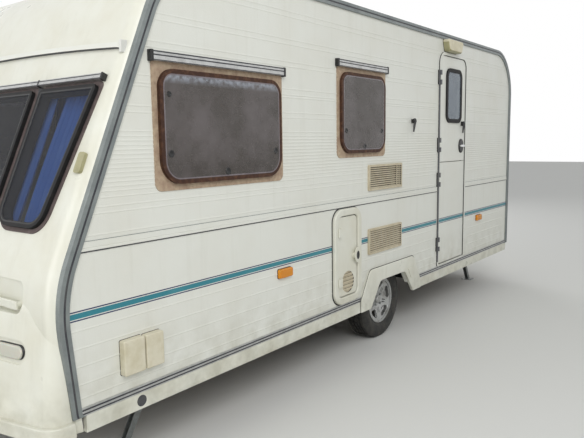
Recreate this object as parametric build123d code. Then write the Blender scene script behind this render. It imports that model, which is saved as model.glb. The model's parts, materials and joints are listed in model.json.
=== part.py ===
from build123d import *
import math
import os

# Travel caravan with one axle, standing on its wheels, jockey wheel and four corner steadies.
# +X points forward to the coupling, +Y to the door side, +Z up, the ground is at Z = 0.
# Lengths along the body are given ahead of the axle and placed by ahead().

# Main sizes
AXLE_X = -670.0
BODY_HALF_WIDTH = 1090.0
WALL_THICK = 28.0
SKIN_THICK = 30.0
EDGE_RADIUS = 75.0
WALL_FOOT_Z = 400.0
ROOF_EDGE_Z = 2437.0
NOSE_X = 2836.0
NOSE_Z = 928.0
FOOT_TUCK = 46.0
FRONT_TOP_X = 2180.0
REAR_X = -2675.0
NOSE_RADIUS = 600.0
FRONT_TOP_RADIUS = 450.0
REAR_TOP_RADIUS = 400.0
FRONT_FOOT_RADIUS = 20.0
REAR_FOOT_RADIUS = 30.0
SKIN_FOOT_Z = 330.0
FRONT_JOINT_Z = 2030.0
REAR_JOINT_Z = 2120.0
FLOOR_UNDER_Z = 405.0
FLOOR_THICK = 40.0
FLOOR_TOP_Z = FLOOR_UNDER_Z + FLOOR_THICK

# Fits
SEAT_GAP = 0.3
SWING_GAP = 6.0
RUNNING_GAP = 0.1

# Awning rails along the edges of both side walls
RAIL_WIDTH = 48.0
RAIL_PROUD = 12.0
RAIL_GROOVE = 10.0
RAIL_GROOVE_DEPTH = 6.0

# Sill trims and skirts below the walls
TRIM_HEIGHT = 37.0
TRIM_PROUD = 8.0
SKIRT_FOOT_Z = 323.0
SKIRT_FRONT_X = 2773.0
SKIRT_IN = 15.0
SKIRT_PROUD = 10.0

# Wheel arch: half widths at foot and top, top height and corner radius
ARCH_FOOT_HALF = 345.0
ARCH_TOP_HALF = 200.0
ARCH_TOP_Z = 513.0
ARCH_RADIUS = 60.0
SPAT_FOOT_HALF = 480.0
SPAT_TOP_HALF = 352.0
SPAT_SHOULDER_Z = 408.0
SPAT_TOP_Z = 617.0
SPAT_RADIUS = 60.0
SPAT_PROUD = 20.0
SPAT_EDGE = 6.0
SPAT_PAD = ((-252.0, 522.0), (-331.0, 532.0), (-398.0, 443.0), (-302.0, 440.0))
SPAT_PAD_PROUD = 4.0
WELL_HALF = 390.0
WELL_TOP_Z = 660.0
WELL_WIDTH = 235.0
WELL_SHEET = 4.0

# Side windows: x ahead of the axle at front and rear, z at foot and top, corner radius
# of the pane
SIDE_WINDOWS = (
    (2332.0, 1362.0, 1342.0, 1950.0, 90.0),
    (773.0, 118.0, 1455.0, 2060.0, 80.0),
)
WINDOW_RIM = 62.0
WINDOW_FLANGE = 30.0
WINDOW_FLANGE_PROUD = 5.0
WINDOW_FLANGE_RADIUS = 40.0
WINDOW_PROUD = 25.0
PANE_THICK = 6.0
PANE_SET_BACK = 5.0
TOP_RAIL_HEIGHT = 46.0
TOP_RAIL_PROUD = 26.0
TOP_RAIL_LAP = 6.0

# Rear window and the three front windows
REAR_WINDOW_HALF = 520.0
REAR_WINDOW_FOOT_Z = 1420.0
REAR_WINDOW_TOP_Z = 1930.0
REAR_WINDOW_RADIUS = 80.0
FRONT_WINDOW_FOOT_Z = 1180.0
FRONT_WINDOW_TOP_Z = 1850.0
FRONT_WINDOW_RIM = 46.0
FRONT_WINDOW_FLANGE = 20.0
FRONT_RAIL_HEIGHT = 28.0
FRONT_RAIL_PROUD = 28.0
FRONT_POST_Y = 486.0
FRONT_POST_HALF = 12.0
FRONT_OUTER_TOP_Y = BODY_HALF_WIDTH - 84.0
FRONT_OUTER_FOOT_Y = BODY_HALF_WIDTH - 185.0
FRONT_FOOT_CORNER = 115.0
FRONT_TOP_CORNER = 28.0

# Gutter rail over the front windows
GUTTER_Z = 1993.0
GUTTER_RISE = 40.0
GUTTER_WIDTH = 26.0
GUTTER_PROUD = 16.0
GUTTER_END_IN = 34.0

# Entrance door in two leaves
DOOR_FRONT_X = -867.0
DOOR_REAR_X = -1437.0
DOOR_FOOT_Z = 452.0
DOOR_TOP_Z = 2303.0
DOOR_SPLIT_Z = 1370.0
DOOR_RADIUS = 80.0
DOOR_FRAME_WIDTH = 25.0
DOOR_FRAME_PROUD = 8.0
DOOR_STOP_LAP = 15.0
DOOR_STOP_THICK = 8.0
DOOR_WINDOW = (-990.0, -1335.0, 1720.0, 2200.0, 75.0)
DOOR_WINDOW_RIM = 34.0
DOOR_WINDOW_PROUD = 12.0
HINGE_AHEAD = 12.0
HINGE_STAND = 17.0
HINGE_RADIUS = 8.0
HINGE_HEIGHT = 124.0
HINGE_CENTRES_UPPER = (2106.0, 1523.0)
HINGE_CENTRES_LOWER = (1218.0, 640.0)
HINGE_ARM = 46.0
HINGE_ARM_THICK = 6.0
LOCK_X = -1345.0
LOCK_Z = 1510.0
LOCK_WIDTH = 100.0
LOCK_HEIGHT = 130.0
LOCK_PROUD = 12.0
LOCK_LEVER = (84.0, 20.0)
LOCK_LEVER_PROUD = 26.0
DOOR_CATCH = (-1340.0, -1380.0, 1695.0, 1735.0, 30.0)

# Gas locker hatch
HATCH_FRONT_X = 783.0
HATCH_REAR_X = 534.0
HATCH_FOOT_Z = 491.0
HATCH_TOP_Z = 1058.0
HATCH_RADIUS = 45.0
HATCH_FRAME_WIDTH = 49.0
HATCH_FRAME_PROUD = 24.0
HATCH_FRAME_EDGE = 8.0
HATCH_LEAF_PROUD = 12.0
HATCH_HINGE_RADIUS = 6.0
HATCH_LOCK_X = 560.0
HATCH_LOCK_Z = 767.0
HATCH_LOCK_WIDTH = 72.0
HATCH_LOCK_HEIGHT = 108.0
HATCH_LOCK_THICK = 8.0
HATCH_LOCK_BOSS_X = 572.0
HATCH_LOCK_BOSS_RADIUS = 20.0
LOCKER_DEPTH = 300.0
LOCKER_SHEET = 4.0
GAS_VENT_X = 655.0
GAS_VENT_Z = 589.0
GAS_VENT_RADIUS = 76.0

# Appliance vents: x at front and rear, z at foot and top
VENTS = (
    (365.0, -145.0, 1205.0, 1393.0),
    (365.0, -145.0, 731.0, 922.0),
)
VENT_PROUD = 14.0
VENT_FRAME = 16.0
VENT_FLUE = 85.0
VENT_SLATS = 10
VENT_BASE = 4.0

# Small fittings on the door side: x at front and rear, z at foot and top, how proud
INLET_BOXES = (
    (2578.0, 2460.0, 516.0, 681.0, 38.0),
    (2452.0, 2347.0, 516.0, 679.0, 38.0),
)
SIDE_MARKERS = (
    (1425.0, 1295.0, 751.0, 807.0, 22.0),
    (-1770.0, -1900.0, 751.0, 807.0, 22.0),
)
AWNING_LAMP = (-903.0, -1239.0, 2332.0, 2436.0, 62.0)
AWNING_LAMP_TAPER = 40.0
WALL_CATCH = (-322.0, -346.0, 1705.0, 1737.0, 34.0)

# Front panel fittings, mirrored across the middle
HANDLE_Z = 878.0
HANDLE_OUTER_Y = BODY_HALF_WIDTH - 258.0
HANDLE_LENGTH = 270.0
HANDLE_HEIGHT = 38.0
HANDLE_THICK = 14.0
HANDLE_STAND = 24.0
REAR_HANDLE_Z = 900.0
REAR_HANDLE_Y = BODY_HALF_WIDTH - 320.0
REAR_HANDLE_LENGTH = 220.0
POCKET_DEPTH = 12.0
POCKET_FOOT_Z = 842.0
POCKET_TOP_Z = 984.0
POCKET_ROOM = 30.0
NOTCH_HALF = 350.0
LENS_Y = BODY_HALF_WIDTH - 288.0
LENS_Z = 682.0
LENS_LENGTH = 182.0
LENS_HEIGHT = 60.0
LENS_PROUD = 8.0
LENS_WELL = 22.0
LENS_WELL_DEPTH = 9.0
MARKER_Y = BODY_HALF_WIDTH - 72.0
MARKER_Z = 1490.0
MARKER_WIDTH = 46.0
MARKER_HEIGHT = 96.0

# Apron bowed out under the front, with a ledge along its foot: z, x ahead at the middle,
# x ahead at the side, half width less than the body's
APRON_ROWS = (
    (392.0, 3060.0, 2926.0, -4.0),
    (870.0, 2950.0, 2878.0, 6.0),
    (1000.0, 2900.0, 2833.0, 10.0),
    (1120.0, 2822.0, 2765.0, 14.0),
)
APRON_BACK_X = 2500.0
APRON_CORNER = 85.0
APRON_THICK = 25.0
APRON_HOLLOW_Z = 790.0
LEDGE_PROUD = 20.0
LEDGE_EDGE = 8.0

# Rear panel fittings
REAR_LAMP_Y = BODY_HALF_WIDTH - 245.0
REAR_LAMP_Z = 640.0
REAR_LAMP_WIDTH = 230.0
REAR_LAMP_HEIGHT = 120.0
REAR_LAMP_PROUD = 28.0
PLATE_WIDTH = 520.0
PLATE_HEIGHT = 111.0
PLATE_THICK = 5.0
PLATE_Z = 560.0

# Chassis
MEMBER_Y = BODY_HALF_WIDTH - 470.0
MEMBER_FLANGE = 50.0
MEMBER_SHEET = 4.0
MEMBER_DEPTH = 90.0
MEMBER_AXLE_DEPTH = 175.0
MEMBER_FRONT_X = 2480.0
MEMBER_REAR_X = -2560.0
MEMBER_HOLE_RADIUS = 27.0
MEMBER_HOLE_PITCH = 210.0
JACK_HOLE_RADIUS = 6.25
JACK_HOLE_SPACING = 90.0
JACK_HOLE_X = -760.0
CROSS_PLACES = (2200.0, 1250.0, -1250.0, -2350.0)
CROSS_WIDTH = 50.0
CROSS_DEPTH = 60.0
DRAWBAR_START_X = 1900.0
DRAWBAR_START_Y = 525.0
DRAWBAR_END_X = 3850.0
DRAWBAR_END_Y = 48.0
DRAWBAR_WIDTH = 50.0
DRAWBAR_DEPTH = 88.0
DRAWBAR_SHEET = 5.0

# Axle, hubs and wheels
WHEEL_Y = BODY_HALF_WIDTH - 165.0
TYRE_RADIUS = 300.0
TYRE_WIDTH = 175.0
RIM_LIP_RADIUS = 182.0
RIM_SEAT_RADIUS = 166.0
RIM_WELL_RADIUS = 147.0
RIM_WIDTH = 142.0
RIM_SHEET = 5.0
HUB_FACE = 20.0
HUB_RADIUS = 52.0
SPIGOT_RADIUS = 28.5
DRUM_RADIUS = 118.0
DRUM_WIDTH = 60.0
AXLE_TUBE = 64.0
AXLE_TUBE_AHEAD = 150.0
AXLE_TUBE_Z = 335.0
ARM_WIDTH = 26.0
ARM_Y = WHEEL_Y - 125.0
STUB_RADIUS = 26.0
SPOKES = 5

# Coupling and hand brake
COUPLING_LENGTH = 6900.0
COUPLING_NOSE_X = REAR_X - 105.0 + COUPLING_LENGTH
BALL_RADIUS = 25.0
BALL_GAP = 0.5
BALL_BACK = 48.0
BALL_Z = 412.0
HEAD_WIDTH = 84.0
HEAD_DEPTH = 74.0
HEAD_LENGTH = 190.0
SHAFT_RADIUS = 27.0
BRAKE_X = 3420.0
BRAKE_LENGTH = 330.0
BRAKE_ANGLE = 22.0

# Jockey wheel, clamped beside the right leg of the drawbar
JOCKEY_X = 3500.0
JOCKEY_TUBE_RADIUS = 24.0
JOCKEY_BORE_RADIUS = 21.0
JOCKEY_FOOT_Z = 300.0
JOCKEY_TOP_Z = 800.0
JOCKEY_FORK_TOP_Z = 214.0
JOCKEY_INNER_LENGTH = 420.0
JOCKEY_WHEEL_RADIUS = 100.0
JOCKEY_WHEEL_WIDTH = 50.0
JOCKEY_TRAIL = 55.0
JOCKEY_SIDE = -1.0

# Corner steadies: x of the pivot ahead of the axle, lean of the leg (1 forward, -1 back)
STEADIES = (
    (2150.0, 1.0),
    (-2150.0, -1.0),
)
STEADY_NAMES = (
    ("steady_leg_front_left", "steady_leg_front_right"),
    ("steady_leg_rear_left", "steady_leg_rear_right"),
)
STEADY_Y = BODY_HALF_WIDTH - 300.0
STEADY_PIVOT_Z = 372.0
STEADY_ANGLE = 60.0
STEADY_WIDTH = 36.0
STEADY_SHEET = 4.0
STEADY_EYE = 22.0
STEADY_PIN = 8.0
STEADY_FOOT_LENGTH = 96.0
STEADY_FOOT_WIDTH = 110.0
STEADY_FOOT_THICK = 6.0

# Roof fittings
ROOFLIGHT_X = 1300.0
ROOFLIGHT_OPENING = 400.0
ROOFLIGHT_FRAME = 44.0
ROOFLIGHT_FRAME_HEIGHT = 22.0
ROOFLIGHT_LID_HEIGHT = 46.0
ROOFLIGHT_LID_SHEET = 5.0
ROOF_VENT_X = -1900.0
ROOF_VENT_Y = -450.0
ROOF_VENT_RADIUS = 72.0

# Inside
BENCH_REAR_X = 830.0
BENCH_FRONT_X = 2560.0
BENCH_WIDTH = 620.0
BENCH_TOP_Z = 870.0
CUSHION_THICK = 120.0
CUSHION_COUNT = 2
UNIT_TOP_Z = 1330.0
UNIT_DEPTH = 520.0
INSIDE_GAP = 4.0
TRACK_HEIGHT = 18.0
TRACK_DEPTH = 40.0
CURTAIN_THICK = 34.0
CURTAIN_WIDTH = 190.0
CURTAIN_DROP = 60.0

FAR = 6000.0
INNER_HALF_WIDTH = BODY_HALF_WIDTH - WALL_THICK
ROOF_TOP_Z = ROOF_EDGE_Z + EDGE_RADIUS
REAR_FACE_X = REAR_X - EDGE_RADIUS


def ahead(distance):
    """X of a place given by its distance ahead of the axle."""
    return AXLE_X + distance


def slab_y(face, y_from, y_to):
    """A face drawn in X and Z, made a solid between two Y planes."""
    high = max(y_from, y_to)
    return Pos(0, high, 0) * extrude(Plane.XZ * face, amount=abs(y_to - y_from))


def block(x_pair, y_pair, z_pair):
    """A box between two planes along each axis."""
    centre = (sum(x_pair) / 2, sum(y_pair) / 2, sum(z_pair) / 2)
    size = (abs(x_pair[1] - x_pair[0]), abs(y_pair[1] - y_pair[0]), abs(z_pair[1] - z_pair[0]))
    return Pos(*centre) * Box(*size)


def panel(low, high, radius):
    """A rounded rectangle between two corners, as a face."""
    width = abs(high[0] - low[0])
    height = abs(high[1] - low[1])
    place = Pos((low[0] + high[0]) / 2, (low[1] + high[1]) / 2)
    if radius <= 0:
        return place * Rectangle(width, height)
    return place * RectangleRounded(width, height, radius)


def rod(start, end, radius):
    """A round bar between two points."""
    axis = Vector(*end) - Vector(*start)
    place = Plane(origin=start, z_dir=axis)
    return place * Cylinder(radius, axis.length, align=(Align.CENTER, Align.CENTER, Align.MIN))


def pieces(*solids):
    """Solids that share a node without touching."""
    kept = []
    for item in solids:
        kept.extend(item.solids())
    return Compound(children=kept) if len(kept) > 1 else kept[0]


def both_sides(solid):
    """A solid and its mirror image across the middle of the caravan."""
    return pieces(solid, mirror(solid, about=Plane.XZ))


def foot_x(z):
    """X of the wall's front edge below the nose."""
    return ahead(NOSE_X - FOOT_TUCK * (NOSE_Z - z) / (NOSE_Z - WALL_FOOT_Z))


def side_outline(foot_z, foot_radii):
    """Outline of a side wall down to a foot height."""
    points = (
        (foot_x(foot_z), foot_z),
        (ahead(NOSE_X), NOSE_Z),
        (ahead(FRONT_TOP_X), ROOF_EDGE_Z),
        (ahead(REAR_X), ROOF_EDGE_Z),
        (ahead(REAR_X), foot_z),
    )
    radii = (foot_radii[0], NOSE_RADIUS, FRONT_TOP_RADIUS, REAR_TOP_RADIUS, foot_radii[1])
    return make_face(FilletPolyline(*points, radius=radii, close=True))


WALL_OUTLINE = side_outline(WALL_FOOT_Z, (FRONT_FOOT_RADIUS, REAR_FOOT_RADIUS))
LONG_OUTLINE = side_outline(SKIN_FOOT_Z - 200.0, (60.0, 60.0))


def hull(grow, half_width, edge_radius):
    """The body's full block: the side outline moved out, its long edges rounded."""
    side = offset(LONG_OUTLINE, amount=grow)
    body = extrude(Plane.XZ * side, amount=half_width, both=True)
    return fillet(body.faces().filter_by(Axis.Y).edges(), edge_radius)


OUTER_HULL = hull(EDGE_RADIUS, BODY_HALF_WIDTH, EDGE_RADIUS)
INNER_HULL = hull(EDGE_RADIUS - SKIN_THICK, INNER_HALF_WIDTH, EDGE_RADIUS - SKIN_THICK - 1.0)

# Planes on the outer faces, with local x to the right, local y up and z outward
LEFT_FACE = Plane(origin=(0, BODY_HALF_WIDTH, 0), x_dir=(-1, 0, 0), z_dir=(0, 1, 0))
REAR_FACE = Plane(origin=(ahead(REAR_FACE_X), 0, 0), x_dir=(0, -1, 0), z_dir=(-1, 0, 0))
SLOPE_RUN = FRONT_TOP_X - NOSE_X
SLOPE_RISE = ROOF_EDGE_Z - NOSE_Z
SLOPE_LENGTH = math.hypot(SLOPE_RUN, SLOPE_RISE)
SLOPE_NORMAL = (SLOPE_RISE / SLOPE_LENGTH, -SLOPE_RUN / SLOPE_LENGTH)
SLOPE_ORIGIN_X = ahead(NOSE_X) + EDGE_RADIUS * SLOPE_NORMAL[0]
SLOPE_ORIGIN_Z = NOSE_Z + EDGE_RADIUS * SLOPE_NORMAL[1]
FRONT_FACE = Plane(
    origin=(SLOPE_ORIGIN_X, 0, SLOPE_ORIGIN_Z),
    x_dir=(0, 1, 0),
    z_dir=(SLOPE_NORMAL[0], 0, SLOPE_NORMAL[1]),
)


def up_slope(z):
    """Distance up the sloping front face at a height."""
    return (z - SLOPE_ORIGIN_Z) / SLOPE_NORMAL[0]


def raised(plane, face, low, high):
    """A face drawn on an outer plane, made a solid between two heights above it."""
    return plane * (Pos(0, 0, low) * extrude(face, amount=high - low))


def frame_outline(low, high, foot_radius, top_radius):
    """A window's outline between two corners, its top corners rounded less than its foot."""
    return make_face(FilletPolyline(
        (low[0], low[1]),
        (high[0], low[1]),
        (high[0], high[1]),
        (low[0], high[1]),
        radius=(foot_radius, foot_radius, top_radius, top_radius),
        close=True,
    ))


def window_set(plane, outer, clear, flange, proud, through):
    """The cutter for a window, its stepped rubber rim and its pane."""
    cutter = raised(plane, clear, -through, proud)
    ring = raised(plane, outer - clear, 0.0, WINDOW_FLANGE_PROUD)
    ring += raised(plane, (outer & offset(clear, amount=flange)) - clear, 0.0, proud)
    pane_high = proud - PANE_SET_BACK
    pane = raised(plane, offset(clear, amount=-SEAT_GAP), pane_high - PANE_THICK, pane_high)
    return cutter, ring, pane


def framed_window(plane, low, high, radius, through):
    """A window between two corners on a flat face, with a flange squarer than its pane."""
    outer = frame_outline(low, high, WINDOW_FLANGE_RADIUS, WINDOW_FLANGE_RADIUS / 4)
    pane_low = (low[0] + WINDOW_RIM, low[1] + WINDOW_RIM)
    pane_high = (high[0] - WINDOW_RIM, high[1] - WINDOW_RIM)
    clear = frame_outline(pane_low, pane_high, radius, radius * 2 / 3)
    return window_set(plane, outer, clear, WINDOW_RIM - WINDOW_FLANGE, WINDOW_PROUD, through)


def side_face(row):
    """Rounded rectangle on the door side's plane, from a row of x and z limits."""
    x_front, x_rear, z_foot, z_top, radius = row
    return panel((-ahead(x_front), z_foot), (-ahead(x_rear), z_top), radius)


def arch_face(foot_half, top_half, top_z, radius, foot_z):
    """Wheel arch shape in X and Z."""
    points = (
        (AXLE_X - foot_half, foot_z),
        (AXLE_X - top_half, top_z),
        (AXLE_X + top_half, top_z),
        (AXLE_X + foot_half, foot_z),
    )
    return make_face(FilletPolyline(*points, radius=(0, radius, radius, 0), close=True))


ARCH_OPENING = arch_face(ARCH_FOOT_HALF, ARCH_TOP_HALF, ARCH_TOP_Z, ARCH_RADIUS, SKIRT_FOOT_Z)
ARCH_SPAT = make_face(FilletPolyline(
    (AXLE_X - SPAT_FOOT_HALF, SKIRT_FOOT_Z),
    (AXLE_X - SPAT_FOOT_HALF, SPAT_SHOULDER_Z),
    (AXLE_X - SPAT_TOP_HALF, SPAT_TOP_Z),
    (AXLE_X + SPAT_TOP_HALF, SPAT_TOP_Z),
    (AXLE_X + SPAT_FOOT_HALF, SPAT_SHOULDER_Z),
    (AXLE_X + SPAT_FOOT_HALF, SKIRT_FOOT_Z),
    radius=(0, SPAT_RADIUS, SPAT_RADIUS, SPAT_RADIUS, SPAT_RADIUS, 0),
    close=True,
))


# Windows all round, with the holes that they need
side_cutters = []
rims = []
panes = []
top_rails = []
for row in SIDE_WINDOWS:
    low = (-ahead(row[0]), row[2])
    high = (-ahead(row[1]), row[3])
    cutter, ring, pane = framed_window(LEFT_FACE, low, high, row[4], WALL_THICK + 1.0)
    rail = panel(
        (low[0] - TOP_RAIL_LAP, high[1] + SEAT_GAP),
        (high[0] + TOP_RAIL_LAP, high[1] + TOP_RAIL_HEIGHT),
        TOP_RAIL_LAP,
    )
    side_cutters.append(cutter)
    for item, group in ((ring, rims), (pane, panes), (raised(LEFT_FACE, rail, 0.0, TOP_RAIL_PROUD), top_rails)):
        group.append(item)
        group.append(mirror(item, about=Plane.XZ))

rear_cutter, rear_ring, rear_pane = framed_window(
    REAR_FACE,
    (-REAR_WINDOW_HALF, REAR_WINDOW_FOOT_Z),
    (REAR_WINDOW_HALF, REAR_WINDOW_TOP_Z),
    REAR_WINDOW_RADIUS,
    SKIN_THICK + 1.0,
)
rear_rail = panel(
    (-REAR_WINDOW_HALF - TOP_RAIL_LAP, REAR_WINDOW_TOP_Z + SEAT_GAP),
    (REAR_WINDOW_HALF + TOP_RAIL_LAP, REAR_WINDOW_TOP_Z + TOP_RAIL_HEIGHT),
    TOP_RAIL_LAP,
)
rims.append(rear_ring)
panes.append(rear_pane)
top_rails.append(raised(REAR_FACE, rear_rail, 0.0, TOP_RAIL_PROUD))

front_foot = up_slope(FRONT_WINDOW_FOOT_Z)
front_top = up_slope(FRONT_WINDOW_TOP_Z)
front_centre = FilletPolyline(
    (-FRONT_POST_Y + FRONT_POST_HALF, front_foot),
    (FRONT_POST_Y - FRONT_POST_HALF, front_foot),
    (FRONT_POST_Y - FRONT_POST_HALF, front_top),
    (-FRONT_POST_Y + FRONT_POST_HALF, front_top),
    radius=(FRONT_FOOT_CORNER, FRONT_FOOT_CORNER, FRONT_TOP_CORNER, FRONT_TOP_CORNER),
    close=True,
)
front_side = FilletPolyline(
    (FRONT_POST_Y + FRONT_POST_HALF, front_foot),
    (FRONT_OUTER_FOOT_Y, front_foot),
    (FRONT_OUTER_TOP_Y, front_top),
    (FRONT_POST_Y + FRONT_POST_HALF, front_top),
    radius=(FRONT_FOOT_CORNER, FRONT_FOOT_CORNER, FRONT_TOP_CORNER, FRONT_TOP_CORNER),
    close=True,
)
front_cutters = []
for wire, twice in ((front_centre, False), (front_side, True)):
    outer = make_face(wire)
    clear = offset(outer, amount=-FRONT_WINDOW_RIM)
    band = FRONT_WINDOW_RIM - FRONT_WINDOW_FLANGE
    cutter, ring, pane = window_set(FRONT_FACE, outer, clear, band, WINDOW_PROUD, SKIN_THICK + 1.0)
    for item, group in ((cutter, front_cutters), (ring, rims), (pane, panes)):
        group.append(item)
        if twice:
            group.append(mirror(item, about=Plane.XZ))
front_rail = panel(
    (-FRONT_OUTER_TOP_Y, front_top + SEAT_GAP),
    (FRONT_OUTER_TOP_Y, front_top + FRONT_RAIL_HEIGHT),
    TOP_RAIL_LAP,
)
top_rails.append(raised(FRONT_FACE, front_rail, 0.0, FRONT_RAIL_PROUD))

# Gutter rail, bowed up over the front and wrapped round its corners
gutter_low = up_slope(GUTTER_Z)
gutter_mid = gutter_low + GUTTER_RISE
gutter_half = BODY_HALF_WIDTH - GUTTER_END_IN
gutter_face = make_face([
    ThreePointArc((-gutter_half, gutter_low), (0, gutter_mid), (gutter_half, gutter_low)),
    Line((gutter_half, gutter_low), (gutter_half, gutter_low + GUTTER_WIDTH)),
    ThreePointArc(
        (gutter_half, gutter_low + GUTTER_WIDTH),
        (0, gutter_mid + GUTTER_WIDTH),
        (-gutter_half, gutter_low + GUTTER_WIDTH),
    ),
    Line((-gutter_half, gutter_low + GUTTER_WIDTH), (-gutter_half, gutter_low)),
])
gutter_hull = hull(EDGE_RADIUS + GUTTER_PROUD, BODY_HALF_WIDTH + GUTTER_PROUD, EDGE_RADIUS + GUTTER_PROUD)
front_gutter = raised(FRONT_FACE, gutter_face, -EDGE_RADIUS, GUTTER_PROUD + 1.0) & gutter_hull
front_gutter -= OUTER_HULL

# Door and hatch openings
DOOR_OPENING = panel((ahead(DOOR_REAR_X), DOOR_FOOT_Z), (ahead(DOOR_FRONT_X), DOOR_TOP_Z), DOOR_RADIUS)
door_opening_face = DOOR_OPENING + panel(
    (ahead(DOOR_REAR_X), DOOR_FOOT_Z),
    (ahead(DOOR_FRONT_X), DOOR_SPLIT_Z),
    12.0,
)
HATCH_OPENING = panel((ahead(HATCH_REAR_X), HATCH_FOOT_Z), (ahead(HATCH_FRONT_X), HATCH_TOP_Z), HATCH_RADIUS)

# Side walls
wall_blank = slab_y(WALL_OUTLINE, INNER_HALF_WIDTH, BODY_HALF_WIDTH)
wall_blank -= slab_y(ARCH_OPENING, INNER_HALF_WIDTH - 1.0, BODY_HALF_WIDTH + 1.0)
for cutter in side_cutters:
    wall_blank -= cutter
side_wall_right = mirror(wall_blank, about=Plane.XZ)
side_wall_left = wall_blank - slab_y(door_opening_face, INNER_HALF_WIDTH - 1.0, BODY_HALF_WIDTH + 1.0)
side_wall_left -= slab_y(HATCH_OPENING, INNER_HALF_WIDTH - 1.0, BODY_HALF_WIDTH + 1.0)

# Front, roof and rear skins wrap round the edges of the walls
skin = OUTER_HULL - INNER_HULL
long_wall = slab_y(LONG_OUTLINE, INNER_HALF_WIDTH - 1.0, BODY_HALF_WIDTH + 1.0)
skin -= long_wall
skin -= mirror(long_wall, about=Plane.XZ)
front_panel = skin & block((AXLE_X, FAR), (-FAR, FAR), (SKIN_FOOT_Z, FRONT_JOINT_Z))
rear_panel = skin & block((-FAR, AXLE_X), (-FAR, FAR), (SKIN_FOOT_Z, REAR_JOINT_Z))
roof_front = block((AXLE_X, FAR), (-FAR, FAR), (FRONT_JOINT_Z, FAR))
roof_rear = block((-FAR, AXLE_X), (-FAR, FAR), (REAR_JOINT_Z, FAR))
roof_panel = skin & (roof_front + roof_rear)
for cutter in front_cutters:
    front_panel -= cutter
rear_panel -= rear_cutter



def apron_section(row, grow):
    """Plan of the apron at one height: a bowed front with rounded corners."""
    z, middle, side, less = row
    half = BODY_HALF_WIDTH - less + grow
    front = ThreePointArc(
        (ahead(side) + grow, -half),
        (ahead(middle) + grow, 0),
        (ahead(side) + grow, half),
    )
    back = Polyline(
        (ahead(side) + grow, half),
        (ahead(APRON_BACK_X), half),
        (ahead(APRON_BACK_X), -half),
        (ahead(side) + grow, -half),
    )
    face = make_face([front, back])
    corners = face.vertices().sort_by(Axis.X)[-2:]
    return Pos(0, 0, z) * fillet(corners, APRON_CORNER + grow)


def apron_front(y, z):
    """X of the apron's outer face between its two lowest rows."""
    low, next_row = APRON_ROWS[0], APRON_ROWS[1]
    share = (z - low[0]) / (next_row[0] - low[0])
    middle = low[1] + share * (next_row[1] - low[1])
    side = low[2] + share * (next_row[2] - low[2])
    half = BODY_HALF_WIDTH - low[3] - share * (next_row[3] - low[3])
    return ahead(middle - (middle - side) * (y / half) ** 2)


# Apron over the foot of the front panel, open below, clear of the awning rails
apron_foot = apron_section(APRON_ROWS[0], 0.0)
apron = loft([apron_section(row, 0.0) for row in APRON_ROWS], ruled=True)
ledge_height = APRON_ROWS[0][0] - SKIN_FOOT_Z
ledge = Pos(0, 0, -ledge_height) * extrude(apron_section(APRON_ROWS[0], LEDGE_PROUD), amount=ledge_height)
ledge = fillet(ledge.faces().sort_by(Axis.Z)[-1].edges().sort_by(Axis.X)[-3:], LEDGE_EDGE)
apron_hollow = loft([apron_section(row, -APRON_THICK) for row in APRON_ROWS[:2]], ruled=True)
apron_hollow = apron_hollow & block((-FAR, FAR), (-FAR, FAR), (0.0, APRON_HOLLOW_Z))
hollow_foot = extrude(apron_section(APRON_ROWS[0], -APRON_THICK), amount=-ledge_height - 1.0)
apron = apron + ledge - apron_hollow - hollow_foot - OUTER_HULL
apron -= slab_y(offset(LONG_OUTLINE, amount=RAIL_WIDTH + SEAT_GAP), -FAR, FAR)

# Moulded pockets for the grab handles on the front panel
nose_out = ahead(NOSE_X) + EDGE_RADIUS
pocket_x = nose_out - 22.0 - POCKET_DEPTH
handle_inner_y = HANDLE_OUTER_Y - HANDLE_LENGTH
pocket = block(
    (pocket_x, pocket_x + 200.0),
    (handle_inner_y - POCKET_ROOM, HANDLE_OUTER_Y + POCKET_ROOM),
    (POCKET_FOOT_Z, POCKET_TOP_Z),
)
pocket = fillet(pocket.edges().filter_by(Axis.X), 40.0)

# Shallow wells for the front lamps, square to the apron's face
lens_point = Vector(apron_front(LENS_Y, LENS_Z), LENS_Y, LENS_Z)
lens_across = Vector(apron_front(LENS_Y + 1.0, LENS_Z), LENS_Y + 1.0, LENS_Z) - lens_point
lens_up = Vector(apron_front(LENS_Y, LENS_Z + 1.0), LENS_Y, LENS_Z + 1.0) - lens_point
LENS_FACE = Plane(origin=lens_point, x_dir=lens_across, z_dir=lens_across.cross(lens_up))
lens_well_height = LENS_HEIGHT + 2 * LENS_WELL
lens_well_face = SlotOverall(LENS_LENGTH + 2 * LENS_WELL, lens_well_height)
lens_well = raised(LENS_FACE, lens_well_face, -LENS_WELL_DEPTH, 2 * LENS_WELL)
for cutter in (pocket, lens_well):
    for side_cutter in (cutter, mirror(cutter, about=Plane.XZ)):
        front_panel -= side_cutter
        apron -= side_cutter

# Notch over the drawbar in the foot of the front panel and apron
notch = block((AXLE_X, FAR), (-NOTCH_HALF, NOTCH_HALF), (0.0, FLOOR_UNDER_Z + 8.0))
front_panel -= notch
apron -= notch

# Rooflight hole
rooflight_hole = block(
    (ahead(ROOFLIGHT_X) - ROOFLIGHT_OPENING / 2, ahead(ROOFLIGHT_X) + ROOFLIGHT_OPENING / 2),
    (-ROOFLIGHT_OPENING / 2, ROOFLIGHT_OPENING / 2),
    (ROOF_EDGE_Z, FAR),
)
roof_panel -= rooflight_hole

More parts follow.
